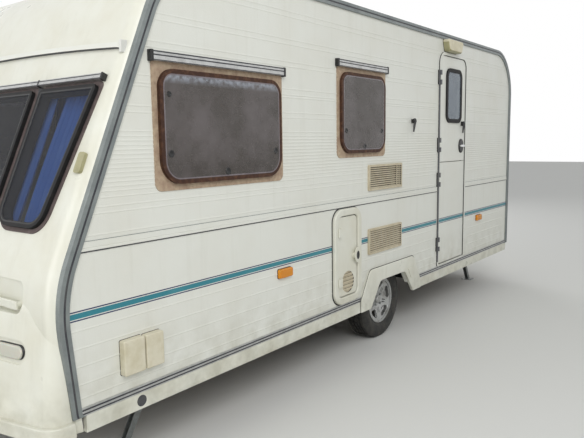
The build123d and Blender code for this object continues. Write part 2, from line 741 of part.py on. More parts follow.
# Floor between the walls and skins, open over the wheels
floor_panel = INNER_HULL & block((-FAR, FAR), (-FAR, FAR), (FLOOR_UNDER_Z, FLOOR_TOP_Z))
well_y = (INNER_HALF_WIDTH - WELL_WIDTH, INNER_HALF_WIDTH)
well_x = (AXLE_X - WELL_HALF, AXLE_X + WELL_HALF)
well_block = block(well_x, (well_y[0], well_y[1] + 20.0), (0.0, WELL_TOP_Z))
floor_panel -= well_block
floor_panel -= mirror(well_block, about=Plane.XZ)

# Wheel boxes, open below and towards the arch
box_outer = block(
    (well_x[0] + SEAT_GAP, well_x[1] - SEAT_GAP),
    (well_y[0] + SEAT_GAP, well_y[1]),
    (FLOOR_UNDER_Z, WELL_TOP_Z),
)
box_inner = block(
    (well_x[0] + WELL_SHEET, well_x[1] - WELL_SHEET),
    (well_y[0] + WELL_SHEET, well_y[1] + 1.0),
    (FLOOR_UNDER_Z - 1.0, WELL_TOP_Z - WELL_SHEET),
)
wheel_boxes = both_sides(box_outer - box_inner)

# Awning rails follow the edge of each side wall, with a groove for the awning's bead
rail_band = offset(WALL_OUTLINE, amount=RAIL_WIDTH) - WALL_OUTLINE
rail_band = rail_band & panel((-FAR, WALL_FOOT_Z), (FAR, FAR), 0.0)
groove_start = (RAIL_WIDTH - RAIL_GROOVE) / 2
groove_band = offset(WALL_OUTLINE, amount=groove_start + RAIL_GROOVE) - offset(WALL_OUTLINE, amount=groove_start)
rail_top_y = BODY_HALF_WIDTH + RAIL_PROUD
rail_left = slab_y(rail_band, BODY_HALF_WIDTH - 30.0, rail_top_y)
rail_left -= OUTER_HULL
rail_left -= slab_y(groove_band, rail_top_y - RAIL_GROOVE_DEPTH, rail_top_y + 1.0)
awning_rails = both_sides(rail_left)

# Sill trims along the foot of the walls
trim_face = panel((-FAR, WALL_FOOT_Z), (FAR, WALL_FOOT_Z + TRIM_HEIGHT), 0.0) & WALL_OUTLINE
trim_face -= ARCH_SPAT
sill_trims = both_sides(slab_y(trim_face, BODY_HALF_WIDTH, BODY_HALF_WIDTH + TRIM_PROUD))

# Skirts below the walls, with the wheel spats between them
skirt_face = panel((ahead(REAR_X), SKIRT_FOOT_Z), (ahead(SKIRT_FRONT_X), WALL_FOOT_Z), 0.0)
skirt_face -= ARCH_SPAT
skirt_left = slab_y(skirt_face, BODY_HALF_WIDTH - SKIRT_IN, BODY_HALF_WIDTH + SKIRT_PROUD)
spat = slab_y(ARCH_SPAT - ARCH_OPENING, BODY_HALF_WIDTH, BODY_HALF_WIDTH + SPAT_PROUD)
spat_rim = spat.faces().sort_by(Axis.Y)[-1].edges().filter_by(lambda edge: edge.center().Z > SPAT_TOP_Z - 1.0)
spat = fillet(spat_rim, SPAT_EDGE)
pad_points = [(ahead(x), z) for x, z in SPAT_PAD]
pad_face = make_face(Polyline(*pad_points, close=True))
spat += slab_y(pad_face, BODY_HALF_WIDTH + SPAT_PROUD - 1.0, BODY_HALF_WIDTH + SPAT_PROUD + SPAT_PAD_PROUD)
skirts = pieces(both_sides(skirt_left + spat), apron)

# Door: frame with its inner stop, two leaves with hinges, window and lock
hinge_x = ahead(DOOR_FRONT_X) + HINGE_AHEAD
hinge_y = BODY_HALF_WIDTH + HINGE_STAND
frame_ring = offset(door_opening_face, amount=DOOR_FRAME_WIDTH) - door_opening_face
frame_ring = frame_ring & panel((-FAR, WALL_FOOT_Z + TRIM_HEIGHT + SEAT_GAP), (FAR, FAR), 0.0)
door_frame = slab_y(frame_ring, BODY_HALF_WIDTH, BODY_HALF_WIDTH + DOOR_FRAME_PROUD)
stop_ring = offset(door_opening_face, amount=20.0) - offset(door_opening_face, amount=-DOOR_STOP_LAP)
stop_ring = stop_ring & panel((-FAR, FLOOR_TOP_Z + SEAT_GAP), (FAR, FAR), 0.0)
door_stop = slab_y(stop_ring, INNER_HALF_WIDTH - DOOR_STOP_THICK, INNER_HALF_WIDTH)


def knuckle(z_low, z_high):
    """One length of a door hinge's barrel."""
    return rod((hinge_x, hinge_y, z_low), (hinge_x, hinge_y, z_high), HINGE_RADIUS)


def hinge_halves(centre_z):
    """The wall half and the leaf half of one door hinge."""
    third = HINGE_HEIGHT / 3
    low = centre_z - HINGE_HEIGHT / 2
    high = centre_z + HINGE_HEIGHT / 2
    plate_x = (hinge_x + HINGE_RADIUS + 1.5, hinge_x + 34.0)
    plate = block(plate_x, (BODY_HALF_WIDTH, BODY_HALF_WIDTH + DOOR_FRAME_PROUD + 3.0), (low, high))
    wall_half = plate
    for z_low, z_high in ((low, low + third), (high - third, high)):
        web = block((hinge_x, plate_x[0] + 2.0), (BODY_HALF_WIDTH + DOOR_FRAME_PROUD, hinge_y), (z_low, z_high))
        wall_half += web + knuckle(z_low, z_high)
    middle = (low + third + 0.5, high - third - 0.5)
    arm_y = (hinge_y - HINGE_ARM_THICK, hinge_y)
    arm = block((hinge_x - HINGE_ARM, hinge_x), arm_y, middle)
    pad = block((hinge_x - HINGE_ARM, hinge_x - HINGE_ARM + 24.0), (BODY_HALF_WIDTH, hinge_y), middle)
    leaf_half = arm + pad + knuckle(*middle)
    return wall_half, leaf_half


def door_leaf(z_foot, z_top, centres):
    """One leaf of the door and the frame halves of its hinges."""
    shape = offset(door_opening_face, amount=-SWING_GAP) & panel((-FAR, z_foot), (FAR, z_top), 0.0)
    leaf = slab_y(shape, INNER_HALF_WIDTH + SEAT_GAP, BODY_HALF_WIDTH)
    frame_parts = []
    for centre_z in centres:
        wall_half, leaf_half = hinge_halves(centre_z)
        leaf += leaf_half
        frame_parts.append(wall_half)
    return leaf, frame_parts


door_upper, upper_parts = door_leaf(DOOR_SPLIT_Z + SWING_GAP / 2, DOOR_TOP_Z, HINGE_CENTRES_UPPER)
door_lower, lower_parts = door_leaf(DOOR_FOOT_Z, DOOR_SPLIT_Z - SWING_GAP / 2, HINGE_CENTRES_LOWER)
for part in upper_parts + lower_parts:
    door_frame += part
door_frame = pieces(door_frame, door_stop)

door_glass = side_face(DOOR_WINDOW)
door_cutter, door_ring, door_pane = window_set(
    LEFT_FACE,
    door_glass,
    offset(door_glass, amount=-DOOR_WINDOW_RIM),
    DOOR_WINDOW_RIM,
    DOOR_WINDOW_PROUD,
    WALL_THICK + 1.0,
)
door_upper -= door_cutter
lock_face = Pos(-ahead(LOCK_X), LOCK_Z) * Ellipse(LOCK_WIDTH / 2, LOCK_HEIGHT / 2)
door_lock = raised(LEFT_FACE, lock_face, 0.0, LOCK_PROUD)
door_lock = fillet(door_lock.faces().sort_by(Axis.Y)[-1].edges(), LOCK_PROUD / 2)
lever_face = Pos(-ahead(LOCK_X), LOCK_Z) * RectangleRounded(*LOCK_LEVER, LOCK_LEVER[1] * 0.4)
door_lock += raised(LEFT_FACE, lever_face, LOCK_PROUD - 1.0, LOCK_LEVER_PROUD)

# Gas locker hatch: frame, leaf with a round louvred vent, and the liner behind
hatch_hinge_x = ahead(HATCH_FRONT_X) + 8.0
hatch_hinge_y = BODY_HALF_WIDTH + HATCH_FRAME_PROUD + HATCH_HINGE_RADIUS
hatch_frame_face = offset(HATCH_OPENING, amount=HATCH_FRAME_WIDTH) - HATCH_OPENING
gas_hatch_frame = slab_y(hatch_frame_face, BODY_HALF_WIDTH, BODY_HALF_WIDTH + HATCH_FRAME_PROUD)
gas_hatch_frame = fillet(gas_hatch_frame.faces().sort_by(Axis.Y)[-1].edges(), HATCH_FRAME_EDGE)
hatch_leaf_face = offset(HATCH_OPENING, amount=-SWING_GAP)
gas_hatch_door = slab_y(hatch_leaf_face, INNER_HALF_WIDTH + SEAT_GAP, BODY_HALF_WIDTH + HATCH_LEAF_PROUD)
vent_hole_low = BODY_HALF_WIDTH + HATCH_LEAF_PROUD - 6.0
vent_place = Pos(ahead(GAS_VENT_X), GAS_VENT_Z)
gas_hatch_door -= slab_y(vent_place * Circle(GAS_VENT_RADIUS), vent_hole_low, FAR)
for step in range(-2, 3):
    bar = vent_place * Pos(0, step * 26.0) * Rectangle(2 * GAS_VENT_RADIUS, 13.0)
    bar = bar & (vent_place * Circle(GAS_VENT_RADIUS + 0.5))
    gas_hatch_door += slab_y(bar, vent_hole_low - 1.0, vent_hole_low + 5.0)
hatch_lock_low = HATCH_FRAME_PROUD + SWING_GAP
lock_boss = Pos(-ahead(HATCH_LOCK_BOSS_X), HATCH_LOCK_Z) * Circle(HATCH_LOCK_BOSS_RADIUS)
hatch_lock = Pos(-ahead(HATCH_LOCK_X), HATCH_LOCK_Z) * Ellipse(HATCH_LOCK_WIDTH / 2, HATCH_LOCK_HEIGHT / 2)
gas_hatch_door += raised(LEFT_FACE, lock_boss, HATCH_LEAF_PROUD - 1.0, hatch_lock_low + 1.0)
gas_hatch_door += raised(LEFT_FACE, hatch_lock, hatch_lock_low, hatch_lock_low + HATCH_LOCK_THICK)
for centre_z in (HATCH_TOP_Z - 110.0, HATCH_FOOT_Z + 110.0):
    barrel = rod(
        (hatch_hinge_x, hatch_hinge_y, centre_z - 30.0),
        (hatch_hinge_x, hatch_hinge_y, centre_z + 30.0),
        HATCH_HINGE_RADIUS,
    )
    arm = block(
        (hatch_hinge_x - 40.0, hatch_hinge_x),
        (hatch_hinge_y - 4.0, hatch_hinge_y + 2.0),
        (centre_z - 30.0, centre_z + 30.0),
    )
    pad = block(
        (hatch_hinge_x - 40.0, hatch_hinge_x - 22.0),
        (BODY_HALF_WIDTH, hatch_hinge_y),
        (centre_z - 30.0, centre_z + 30.0),
    )
    gas_hatch_door += barrel + arm + pad

liner_x = (ahead(HATCH_REAR_X) - LOCKER_SHEET, ahead(HATCH_FRONT_X) + LOCKER_SHEET)
liner_z = (FLOOR_TOP_Z + SEAT_GAP, HATCH_TOP_Z + LOCKER_SHEET)
liner_outer = block(liner_x, (INNER_HALF_WIDTH - LOCKER_DEPTH, INNER_HALF_WIDTH), liner_z)
liner_inner = block(
    (liner_x[0] + LOCKER_SHEET, liner_x[1] - LOCKER_SHEET),
    (INNER_HALF_WIDTH - LOCKER_DEPTH + LOCKER_SHEET, INNER_HALF_WIDTH + 1.0),
    (liner_z[0] + LOCKER_SHEET, liner_z[1] - LOCKER_SHEET),
)
gas_locker_liner = liner_outer - liner_inner

# Appliance vents with slanted slats
fridge_vents = []
for number, (x_front, x_rear, z_foot, z_top) in enumerate(VENTS):
    outer = panel((ahead(x_rear), z_foot), (ahead(x_front), z_top), 8.0)
    inner = panel(
        (ahead(x_rear) + VENT_FRAME, z_foot + VENT_FRAME),
        (ahead(x_front) - VENT_FRAME, z_top - VENT_FRAME),
        0.0,
    )
    vent = slab_y(outer, BODY_HALF_WIDTH, BODY_HALF_WIDTH + VENT_PROUD)
    vent -= slab_y(inner, BODY_HALF_WIDTH + VENT_BASE, FAR)
    pitch = (z_top - z_foot - 2 * VENT_FRAME) / VENT_SLATS
    for slat in range(VENT_SLATS):
        slat_z = z_foot + VENT_FRAME + (slat + 0.5) * pitch
        profile = Polyline(
            (BODY_HALF_WIDTH + VENT_BASE - 1.0, slat_z + pitch * 0.32),
            (BODY_HALF_WIDTH + VENT_PROUD - 1.5, slat_z - pitch * 0.25),
            (BODY_HALF_WIDTH + VENT_PROUD - 1.5, slat_z - pitch * 0.45),
            (BODY_HALF_WIDTH + VENT_BASE - 1.0, slat_z - pitch * 0.30),
            close=True,
        )
        slat_length = x_front - x_rear - 2 * VENT_FRAME
        vent += Pos(ahead(x_rear) + VENT_FRAME, 0, 0) * extrude(Plane.YZ * make_face(profile), amount=slat_length)
    if number == 0:
        post_x = ahead(x_rear) + VENT_FLUE
        vent += block((post_x, post_x + 12.0), (BODY_HALF_WIDTH, BODY_HALF_WIDTH + VENT_PROUD), (z_foot, z_top))
    fridge_vents.append(vent)


def side_fitting(row, radius, edge):
    """A small moulded box on the door side, its outer edges rounded."""
    x_front, x_rear, z_foot, z_top, proud = row
    solid = raised(LEFT_FACE, side_face((x_front, x_rear, z_foot, z_top, radius)), 0.0, proud)
    return fillet(solid.faces().sort_by(Axis.Y)[-1].edges(), edge)


inlet_boxes = pieces(*[side_fitting(row, 8.0, 6.0) for row in INLET_BOXES])
side_markers = both_sides(pieces(*[side_fitting(row, 12.0, 8.0) for row in SIDE_MARKERS]))
door_catch = side_fitting(DOOR_CATCH, 6.0, 4.0)
door_lock = pieces(door_lock, door_catch)
lamp_front, lamp_rear, lamp_foot, lamp_top, lamp_proud = AWNING_LAMP
lamp_face = make_face(FilletPolyline(
    (-ahead(lamp_front) + AWNING_LAMP_TAPER, lamp_foot),
    (-ahead(lamp_rear) - AWNING_LAMP_TAPER, lamp_foot),
    (-ahead(lamp_rear), lamp_top),
    (-ahead(lamp_front), lamp_top),
    radius=(30.0, 30.0, 20.0, 20.0),
    close=True,
))
awning_lamp = raised(LEFT_FACE, lamp_face, 0.0, lamp_proud)
awning_lamp = fillet(awning_lamp.faces().sort_by(Axis.Y)[-1].edges(), 16.0)
wall_catch = side_fitting(WALL_CATCH, 6.0, 4.0)

# Front fittings: flat grab handles in their pockets, lamps in their wells, corner markers
handle_x = nose_out - 22.0 + HANDLE_STAND - HANDLE_THICK / 2
handle = block(
    (handle_x - HANDLE_THICK / 2, handle_x + HANDLE_THICK / 2),
    (handle_inner_y, HANDLE_OUTER_Y),
    (HANDLE_Z - HANDLE_HEIGHT / 2, HANDLE_Z + HANDLE_HEIGHT / 2),
)
handle = fillet(handle.edges(), 5.0)
for end_y in (handle_inner_y + HANDLE_HEIGHT / 2, HANDLE_OUTER_Y - HANDLE_HEIGHT / 2):
    handle += rod((pocket_x, end_y, HANDLE_Z), (handle_x, end_y, HANDLE_Z), HANDLE_THICK)
rear_handle_x = ahead(REAR_FACE_X) - HANDLE_STAND - HANDLE_THICK / 2
rear_handle = block(
    (rear_handle_x - HANDLE_THICK / 2, rear_handle_x + HANDLE_THICK / 2),
    (REAR_HANDLE_Y, REAR_HANDLE_Y + REAR_HANDLE_LENGTH),
    (REAR_HANDLE_Z - HANDLE_HEIGHT / 2, REAR_HANDLE_Z + HANDLE_HEIGHT / 2),
)
rear_handle = fillet(rear_handle.edges(), 5.0)
for end_y in (REAR_HANDLE_Y + HANDLE_HEIGHT / 2, REAR_HANDLE_Y + REAR_HANDLE_LENGTH - HANDLE_HEIGHT / 2):
    foot = (ahead(REAR_FACE_X), end_y, REAR_HANDLE_Z)
    rear_handle += rod(foot, (rear_handle_x, end_y, REAR_HANDLE_Z), HANDLE_THICK)
grab_handles = both_sides(pieces(handle, rear_handle))

lens = raised(LENS_FACE, SlotOverall(LENS_LENGTH, LENS_HEIGHT), -LENS_WELL_DEPTH, LENS_PROUD)
lens = fillet(lens.faces().sort_by(Axis.X)[-1].edges(), LENS_PROUD)
marker_s = up_slope(MARKER_Z)
marker_face = panel(
    (MARKER_Y - MARKER_WIDTH / 2, marker_s - MARKER_HEIGHT / 2),
    (MARKER_Y + MARKER_WIDTH / 2, marker_s + MARKER_HEIGHT / 2),
    12.0,
)
corner_marker = raised(FRONT_FACE, marker_face, -30.0, 12.0) - OUTER_HULL
front_markers = both_sides(pieces(lens, corner_marker))

# Rear fittings
rear_lamp_face = panel(
    (REAR_LAMP_Y - REAR_LAMP_WIDTH / 2, REAR_LAMP_Z - REAR_LAMP_HEIGHT / 2),
    (REAR_LAMP_Y + REAR_LAMP_WIDTH / 2, REAR_LAMP_Z + REAR_LAMP_HEIGHT / 2),
    20.0,
)
rear_lamp = raised(REAR_FACE, rear_lamp_face, 0.0, REAR_LAMP_PROUD)
rear_lamp = fillet(rear_lamp.faces().sort_by(Axis.X)[0].edges(), 10.0)
rear_lamps = both_sides(rear_lamp)
plate_face = panel(
    (-PLATE_WIDTH / 2, PLATE_Z - PLATE_HEIGHT / 2),
    (PLATE_WIDTH / 2, PLATE_Z + PLATE_HEIGHT / 2),
    6.0,
)
number_plate = raised(REAR_FACE, plate_face, 0.0, PLATE_THICK)

# Axle: cross tube, trailing arms, stubs and brake drums
tube_x = ahead(AXLE_TUBE_AHEAD)
axle_tube = block(
    (tube_x - AXLE_TUBE / 2, tube_x + AXLE_TUBE / 2),
    (-ARM_Y + ARM_WIDTH / 2, ARM_Y - ARM_WIDTH / 2),
    (AXLE_TUBE_Z - AXLE_TUBE / 2, AXLE_TUBE_Z + AXLE_TUBE / 2),
)
arm_face = (
    Pos(tube_x, AXLE_TUBE_Z) * Circle(48.0)
    + Pos(AXLE_X, TYRE_RADIUS) * Circle(44.0)
    + make_face(Polyline(
        (tube_x, AXLE_TUBE_Z + 46.0),
        (AXLE_X, TYRE_RADIUS + 42.0),
        (AXLE_X, TYRE_RADIUS - 42.0),
        (tube_x, AXLE_TUBE_Z - 46.0),
        close=True,
    ))
)
arm = slab_y(arm_face, ARM_Y - ARM_WIDTH / 2, ARM_Y + ARM_WIDTH / 2)


def on_axle(y_from, y_to, radius):
    """A round length on the left wheel's axis."""
    return rod((AXLE_X, y_from, TYRE_RADIUS), (AXLE_X, y_to, TYRE_RADIUS), radius)


hub_face_y = WHEEL_Y + HUB_FACE - SEAT_GAP
drum_out_y = hub_face_y - 10.0
stub = on_axle(ARM_Y, drum_out_y, STUB_RADIUS)
drum = on_axle(drum_out_y - DRUM_WIDTH, drum_out_y, DRUM_RADIUS)
hub = on_axle(drum_out_y, hub_face_y, HUB_RADIUS)
spigot = on_axle(hub_face_y, hub_face_y + 14.0, SPIGOT_RADIUS - RUNNING_GAP)
left_end = arm + stub + drum + hub + spigot
axle = axle_tube + left_end + mirror(left_end, about=Plane.XZ)

# Wheels: a tyre section and a spoked alloy rim, turned about the axle's line
half_width = TYRE_WIDTH / 2
bead = RIM_WIDTH / 2 - RIM_SHEET - SEAT_GAP
bead_r = RIM_SEAT_RADIUS + SEAT_GAP
belly_r = (RIM_LIP_RADIUS + TYRE_RADIUS) / 2 - 8.0
shoulder_r = TYRE_RADIUS - 16.0
tread_half = half_width * 0.74
carcass = 11.0
tyre_section = make_face([
    Line((bead - carcass, bead_r), (bead, bead_r)),
    Line((bead, bead_r), (bead, RIM_LIP_RADIUS + 2.0)),
    ThreePointArc((bead, RIM_LIP_RADIUS + 2.0), (half_width, belly_r), (half_width - 11.0, shoulder_r)),
    Line((half_width - 11.0, shoulder_r), (tread_half, TYRE_RADIUS - 2.0)),
    ThreePointArc((tread_half, TYRE_RADIUS - 2.0), (0, TYRE_RADIUS), (-tread_half, TYRE_RADIUS - 2.0)),
    Line((-tread_half, TYRE_RADIUS - 2.0), (-half_width + 11.0, shoulder_r)),
    ThreePointArc((-half_width + 11.0, shoulder_r), (-half_width, belly_r), (-bead, RIM_LIP_RADIUS + 2.0)),
    Line((-bead, RIM_LIP_RADIUS + 2.0), (-bead, bead_r)),
    Line((-bead, bead_r), (-bead + carcass, bead_r)),
    Line((-bead + carcass, bead_r), (-bead + carcass, RIM_LIP_RADIUS + 4.0)),
    ThreePointArc(
        (-bead + carcass, RIM_LIP_RADIUS + 4.0),
        (-half_width + carcass, belly_r),
        (-half_width + 11.0 + carcass, shoulder_r - 4.0),
    ),
    Line((-half_width + 11.0 + carcass, shoulder_r - 4.0), (half_width - 11.0 - carcass, shoulder_r - 4.0)),
    ThreePointArc(
        (half_width - 11.0 - carcass, shoulder_r - 4.0),
        (half_width - carcass, belly_r),
        (bead - carcass, RIM_LIP_RADIUS + 4.0),
    ),
    Line((bead - carcass, RIM_LIP_RADIUS + 4.0), (bead - carcass, bead_r)),
])
tyre_blank = revolve(Plane.YZ * tyre_section, axis=Axis.Y)

rim_half = RIM_WIDTH / 2
well_half = 24.0
rim_line = (
    (-rim_half, RIM_LIP_RADIUS),
    (-rim_half + RIM_SHEET, RIM_LIP_RADIUS),
    (-rim_half + RIM_SHEET, RIM_SEAT_RADIUS),
    (-well_half - 12.0, RIM_SEAT_RADIUS),
    (-well_half, RIM_WELL_RADIUS),
    (well_half, RIM_WELL_RADIUS),
    (well_half + 12.0, RIM_SEAT_RADIUS),
    (rim_half - RIM_SHEET, RIM_SEAT_RADIUS),
    (rim_half - RIM_SHEET, RIM_LIP_RADIUS),
    (rim_half, RIM_LIP_RADIUS),
    (rim_half, RIM_SEAT_RADIUS - RIM_SHEET),
    (well_half + 14.0, RIM_SEAT_RADIUS - RIM_SHEET),
    (well_half + 2.0, RIM_WELL_RADIUS - RIM_SHEET),
    (-well_half - 2.0, RIM_WELL_RADIUS - RIM_SHEET),
    (-well_half - 14.0, RIM_SEAT_RADIUS - RIM_SHEET),
    (-rim_half, RIM_SEAT_RADIUS - RIM_SHEET),
)
rim = revolve(Plane.YZ * make_face(Polyline(*rim_line, close=True)), axis=Axis.Y)
disc_line = (
    (HUB_FACE, SPIGOT_RADIUS),
    (HUB_FACE, HUB_RADIUS + 12.0),
    (HUB_FACE + 14.0, HUB_RADIUS + 34.0),
    (HUB_FACE + 22.0, RIM_SEAT_RADIUS - RIM_SHEET + 1.0),
    (rim_half - 8.0, RIM_SEAT_RADIUS - RIM_SHEET + 1.0),
    (HUB_FACE + 30.0, HUB_RADIUS + 34.0),
    (HUB_FACE + 18.0, SPIGOT_RADIUS),
)
disc = revolve(Plane.YZ * make_face(Polyline(*disc_line, close=True)), axis=Axis.Y)
spoke_gap = FilletPolyline(
    (-14.0, 92.0),
    (14.0, 92.0),
    (58.0, 130.0),
    (40.0, 149.0),
    (-40.0, 149.0),
    (-58.0, 130.0),
    radius=8.0,
    close=True,
)
gap_cutter = extrude(Plane.XZ * make_face(spoke_gap), amount=200.0, both=True)
slot_cutter = extrude(Plane.XZ * (Pos(9.5, 86.0) * RectangleRounded(8.0, 40.0, 3.9)), amount=200.0, both=True)
slot_pair = slot_cutter + mirror(slot_cutter, about=Plane.YZ)
for spoke in range(SPOKES):
    turn = 360.0 / SPOKES * spoke
    disc -= Rot(0, turn, 0) * gap_cutter
    disc -= Rot(0, turn + 180.0 / SPOKES, 0) * slot_pair
alloy_blank = rim + disc
left_place = Pos(AXLE_X, WHEEL_Y, TYRE_RADIUS)
right_place = Pos(AXLE_X, -WHEEL_Y, TYRE_RADIUS) * Rot(0, 0, 180)

# Chassis members, deeper at the axle, with lightening holes
member_top_z = FLOOR_UNDER_Z
member_low_z = member_top_z - MEMBER_DEPTH
member_axle_z = member_top_z - MEMBER_AXLE_DEPTH
member_line = (
    (ahead(MEMBER_REAR_X), member_top_z),
    (ahead(MEMBER_FRONT_X), member_top_z),
    (ahead(MEMBER_FRONT_X), member_low_z + 20.0),
    (ahead(MEMBER_FRONT_X) - 150.0, member_low_z),
    (ahead(900.0), member_low_z),
    (ahead(560.0), member_axle_z),
    (ahead(-260.0), member_axle_z),
    (ahead(-600.0), member_low_z),
    (ahead(MEMBER_REAR_X) + 110.0, member_low_z),
    (ahead(MEMBER_REAR_X), member_low_z + 30.0),
)
member_face = make_face(Polyline(*member_line, close=True))
member = slab_y(member_face, MEMBER_Y - MEMBER_SHEET, MEMBER_Y)
member += slab_y(member_face - offset(member_face, amount=-MEMBER_SHEET), MEMBER_Y - MEMBER_FLANGE, MEMBER_Y)
hole_z = member_top_z - MEMBER_DEPTH / 2
for start, count in ((1000.0, 6), (-1100.0, 6)):
    for step in range(count):
        reach = step * MEMBER_HOLE_PITCH
        hole_x = ahead(start + reach) if start > 0 else ahead(start - reach)
        member -= slab_y(Pos(hole_x, hole_z) * Circle(MEMBER_HOLE_RADIUS), MEMBER_Y - 10.0, MEMBER_Y + 1.0)
for step in (-0.5, 0.5):
    hole_x = ahead(JACK_HOLE_X) + step * JACK_HOLE_SPACING
    member -= slab_y(Pos(hole_x, hole_z) * Circle(JACK_HOLE_RADIUS), MEMBER_Y - 10.0, MEMBER_Y + 1.0)
tube_hole = block(
    (tube_x - AXLE_TUBE / 2 - SEAT_GAP, tube_x + AXLE_TUBE / 2 + SEAT_GAP),
    (MEMBER_Y - 60.0, MEMBER_Y + 10.0),
    (AXLE_TUBE_Z - AXLE_TUBE / 2 - SEAT_GAP, AXLE_TUBE_Z + AXLE_TUBE / 2 + SEAT_GAP),
)
member -= tube_hole

# Drawbar legs run from beside the members to the coupling
drawbar_top_z = FLOOR_UNDER_Z
drawbar_low_z = drawbar_top_z - DRAWBAR_DEPTH
leg_run = math.hypot(DRAWBAR_END_X - DRAWBAR_START_X, DRAWBAR_START_Y - DRAWBAR_END_Y)
leg_turn = math.degrees(math.atan2(DRAWBAR_END_Y - DRAWBAR_START_Y, DRAWBAR_END_X - DRAWBAR_START_X))
leg_shape = Box(leg_run, DRAWBAR_WIDTH, DRAWBAR_DEPTH, align=(Align.MIN, Align.CENTER, Align.MIN))
leg_bore = Box(
    leg_run + 2.0,
    DRAWBAR_WIDTH - 2 * DRAWBAR_SHEET,
    DRAWBAR_DEPTH - 2 * DRAWBAR_SHEET,
    align=(Align.MIN, Align.CENTER, Align.MIN),
)
leg_shape -= Pos(-1.0, 0, DRAWBAR_SHEET) * leg_bore
leg_place = Pos(ahead(DRAWBAR_START_X), DRAWBAR_START_Y, drawbar_low_z) * Rot(0, 0, leg_turn)
drawbar_left = leg_place * leg_shape
drawbar_solid = leg_place * Box(leg_run, DRAWBAR_WIDTH, DRAWBAR_DEPTH, align=(Align.MIN, Align.CENTER, Align.MIN))

# Cross members between the chassis members
cross_half = MEMBER_Y - MEMBER_SHEET
cross_bars = []
for place in CROSS_PLACES:
    bar = block(
        (ahead(place) - CROSS_WIDTH / 2, ahead(place) + CROSS_WIDTH / 2),
        (-cross_half, cross_half),
        (drawbar_top_z - MEMBER_SHEET - CROSS_DEPTH, drawbar_top_z - MEMBER_SHEET),
    )
    bar -= block(
        (ahead(place) - CROSS_WIDTH / 2 + MEMBER_SHEET, ahead(place) + CROSS_WIDTH / 2 + 1.0),
        (-cross_half - 1.0, cross_half + 1.0),
        (drawbar_top_z - CROSS_DEPTH, drawbar_top_z - 2 * MEMBER_SHEET),
    )
    bar -= drawbar_solid
    bar -= mirror(drawbar_solid, about=Plane.XZ)
    cross_bars.append(bar)
cross_members = pieces(*cross_bars)

# Coupling head on its shaft, between the drawbar's ends
nose_x = ahead(COUPLING_NOSE_X)
ball_x = nose_x - BALL_BACK
head_x = nose_x - HEAD_LENGTH
head_low_z = BALL_Z - 14.0
head_top_z = head_low_z + HEAD_DEPTH
head_face = Pos(ball_x, 0) * Circle(HEAD_WIDTH / 2) + Pos((ball_x + head_x) / 2, 0) * Rectangle(
    ball_x - head_x,
    HEAD_WIDTH - 16.0,
)
head = Pos(0, 0, head_low_z) * extrude(head_face, amount=HEAD_DEPTH)
head += block((ball_x, nose_x), (-24.0, 24.0), (head_low_z, head_low_z + 30.0)) & (
    Pos(ball_x, 0, head_low_z) * Cylinder(BALL_BACK, HEAD_DEPTH * 2)
)
head = fillet(head.faces().sort_by(Axis.Z)[-1].edges(), 14.0)
head -= Pos(ball_x, 0, BALL_Z) * Sphere(BALL_RADIUS + BALL_GAP)
head -= Pos(ball_x, 0, BALL_Z - 50.0) * Cylinder(
    BALL_RADIUS + BALL_GAP,
    50.0,
    align=(Align.CENTER, Align.CENTER, Align.MIN),
)
shaft_z = (head_low_z + head_top_z) / 2
shaft_back_x = ahead(DRAWBAR_END_X) - 260.0
coupling_head = head + rod((shaft_back_x, 0, shaft_z), (head_x, 0, shaft_z), SHAFT_RADIUS)
saddle_x = (shaft_back_x - 10.0, ahead(DRAWBAR_END_X) + 6.0)
saddle = block(saddle_x, (-104.0, 104.0), (drawbar_top_z, drawbar_top_z + 8.0))
saddle += block(saddle_x, (-SHAFT_RADIUS - 8.0, SHAFT_RADIUS + 8.0), (drawbar_top_z, shaft_z))
saddle += rod((saddle_x[0], 0, shaft_z), (saddle_x[1], 0, shaft_z), SHAFT_RADIUS + 8.0)
saddle -= rod((saddle_x[0] - 5.0, 0, shaft_z), (saddle_x[1] + 5.0, 0, shaft_z), SHAFT_RADIUS + RUNNING_GAP)
drawbar = drawbar_left + mirror(drawbar_left, about=Plane.XZ) + saddle
handle_rise = 62.0
release = block((head_x + 10.0, head_x + 120.0), (-13.0, 13.0), (head_top_z - 6.0, head_top_z + 20.0))
release += rod(
    (head_x + 20.0, 0, head_top_z + 12.0),
    (head_x - 95.0, 0, head_top_z + handle_rise),
    13.0,
)
coupling_head += release

# Hand brake lever on a bracket beside the coupling shaft
brake_x = ahead(BRAKE_X)
brake_y = 62.0
brake_z = drawbar_top_z + 60.0
bracket_x = (brake_x - 40.0, brake_x + 60.0)
brake_bracket = block(bracket_x, (brake_y - 24.0, brake_y - 18.0), (drawbar_top_z, brake_z + 20.0))
brake_bracket += block(bracket_x, (brake_y - 24.0, brake_y + 90.0), (drawbar_top_z, drawbar_top_z + 6.0))
brake_end = (
    brake_x - BRAKE_LENGTH * math.cos(math.radians(BRAKE_ANGLE)),
    brake_y,
    brake_z + BRAKE_LENGTH * math.sin(math.radians(BRAKE_ANGLE)),
)
brake_lever = rod((brake_x, brake_y, brake_z), brake_end, 11.0)
brake_lever += Pos(*brake_end) * Sphere(17.0)
brake_lever += rod((brake_x, brake_y - 18.0, brake_z), (brake_x, brake_y + 12.0, brake_z), 20.0)
hand_brake = brake_bracket + brake_lever

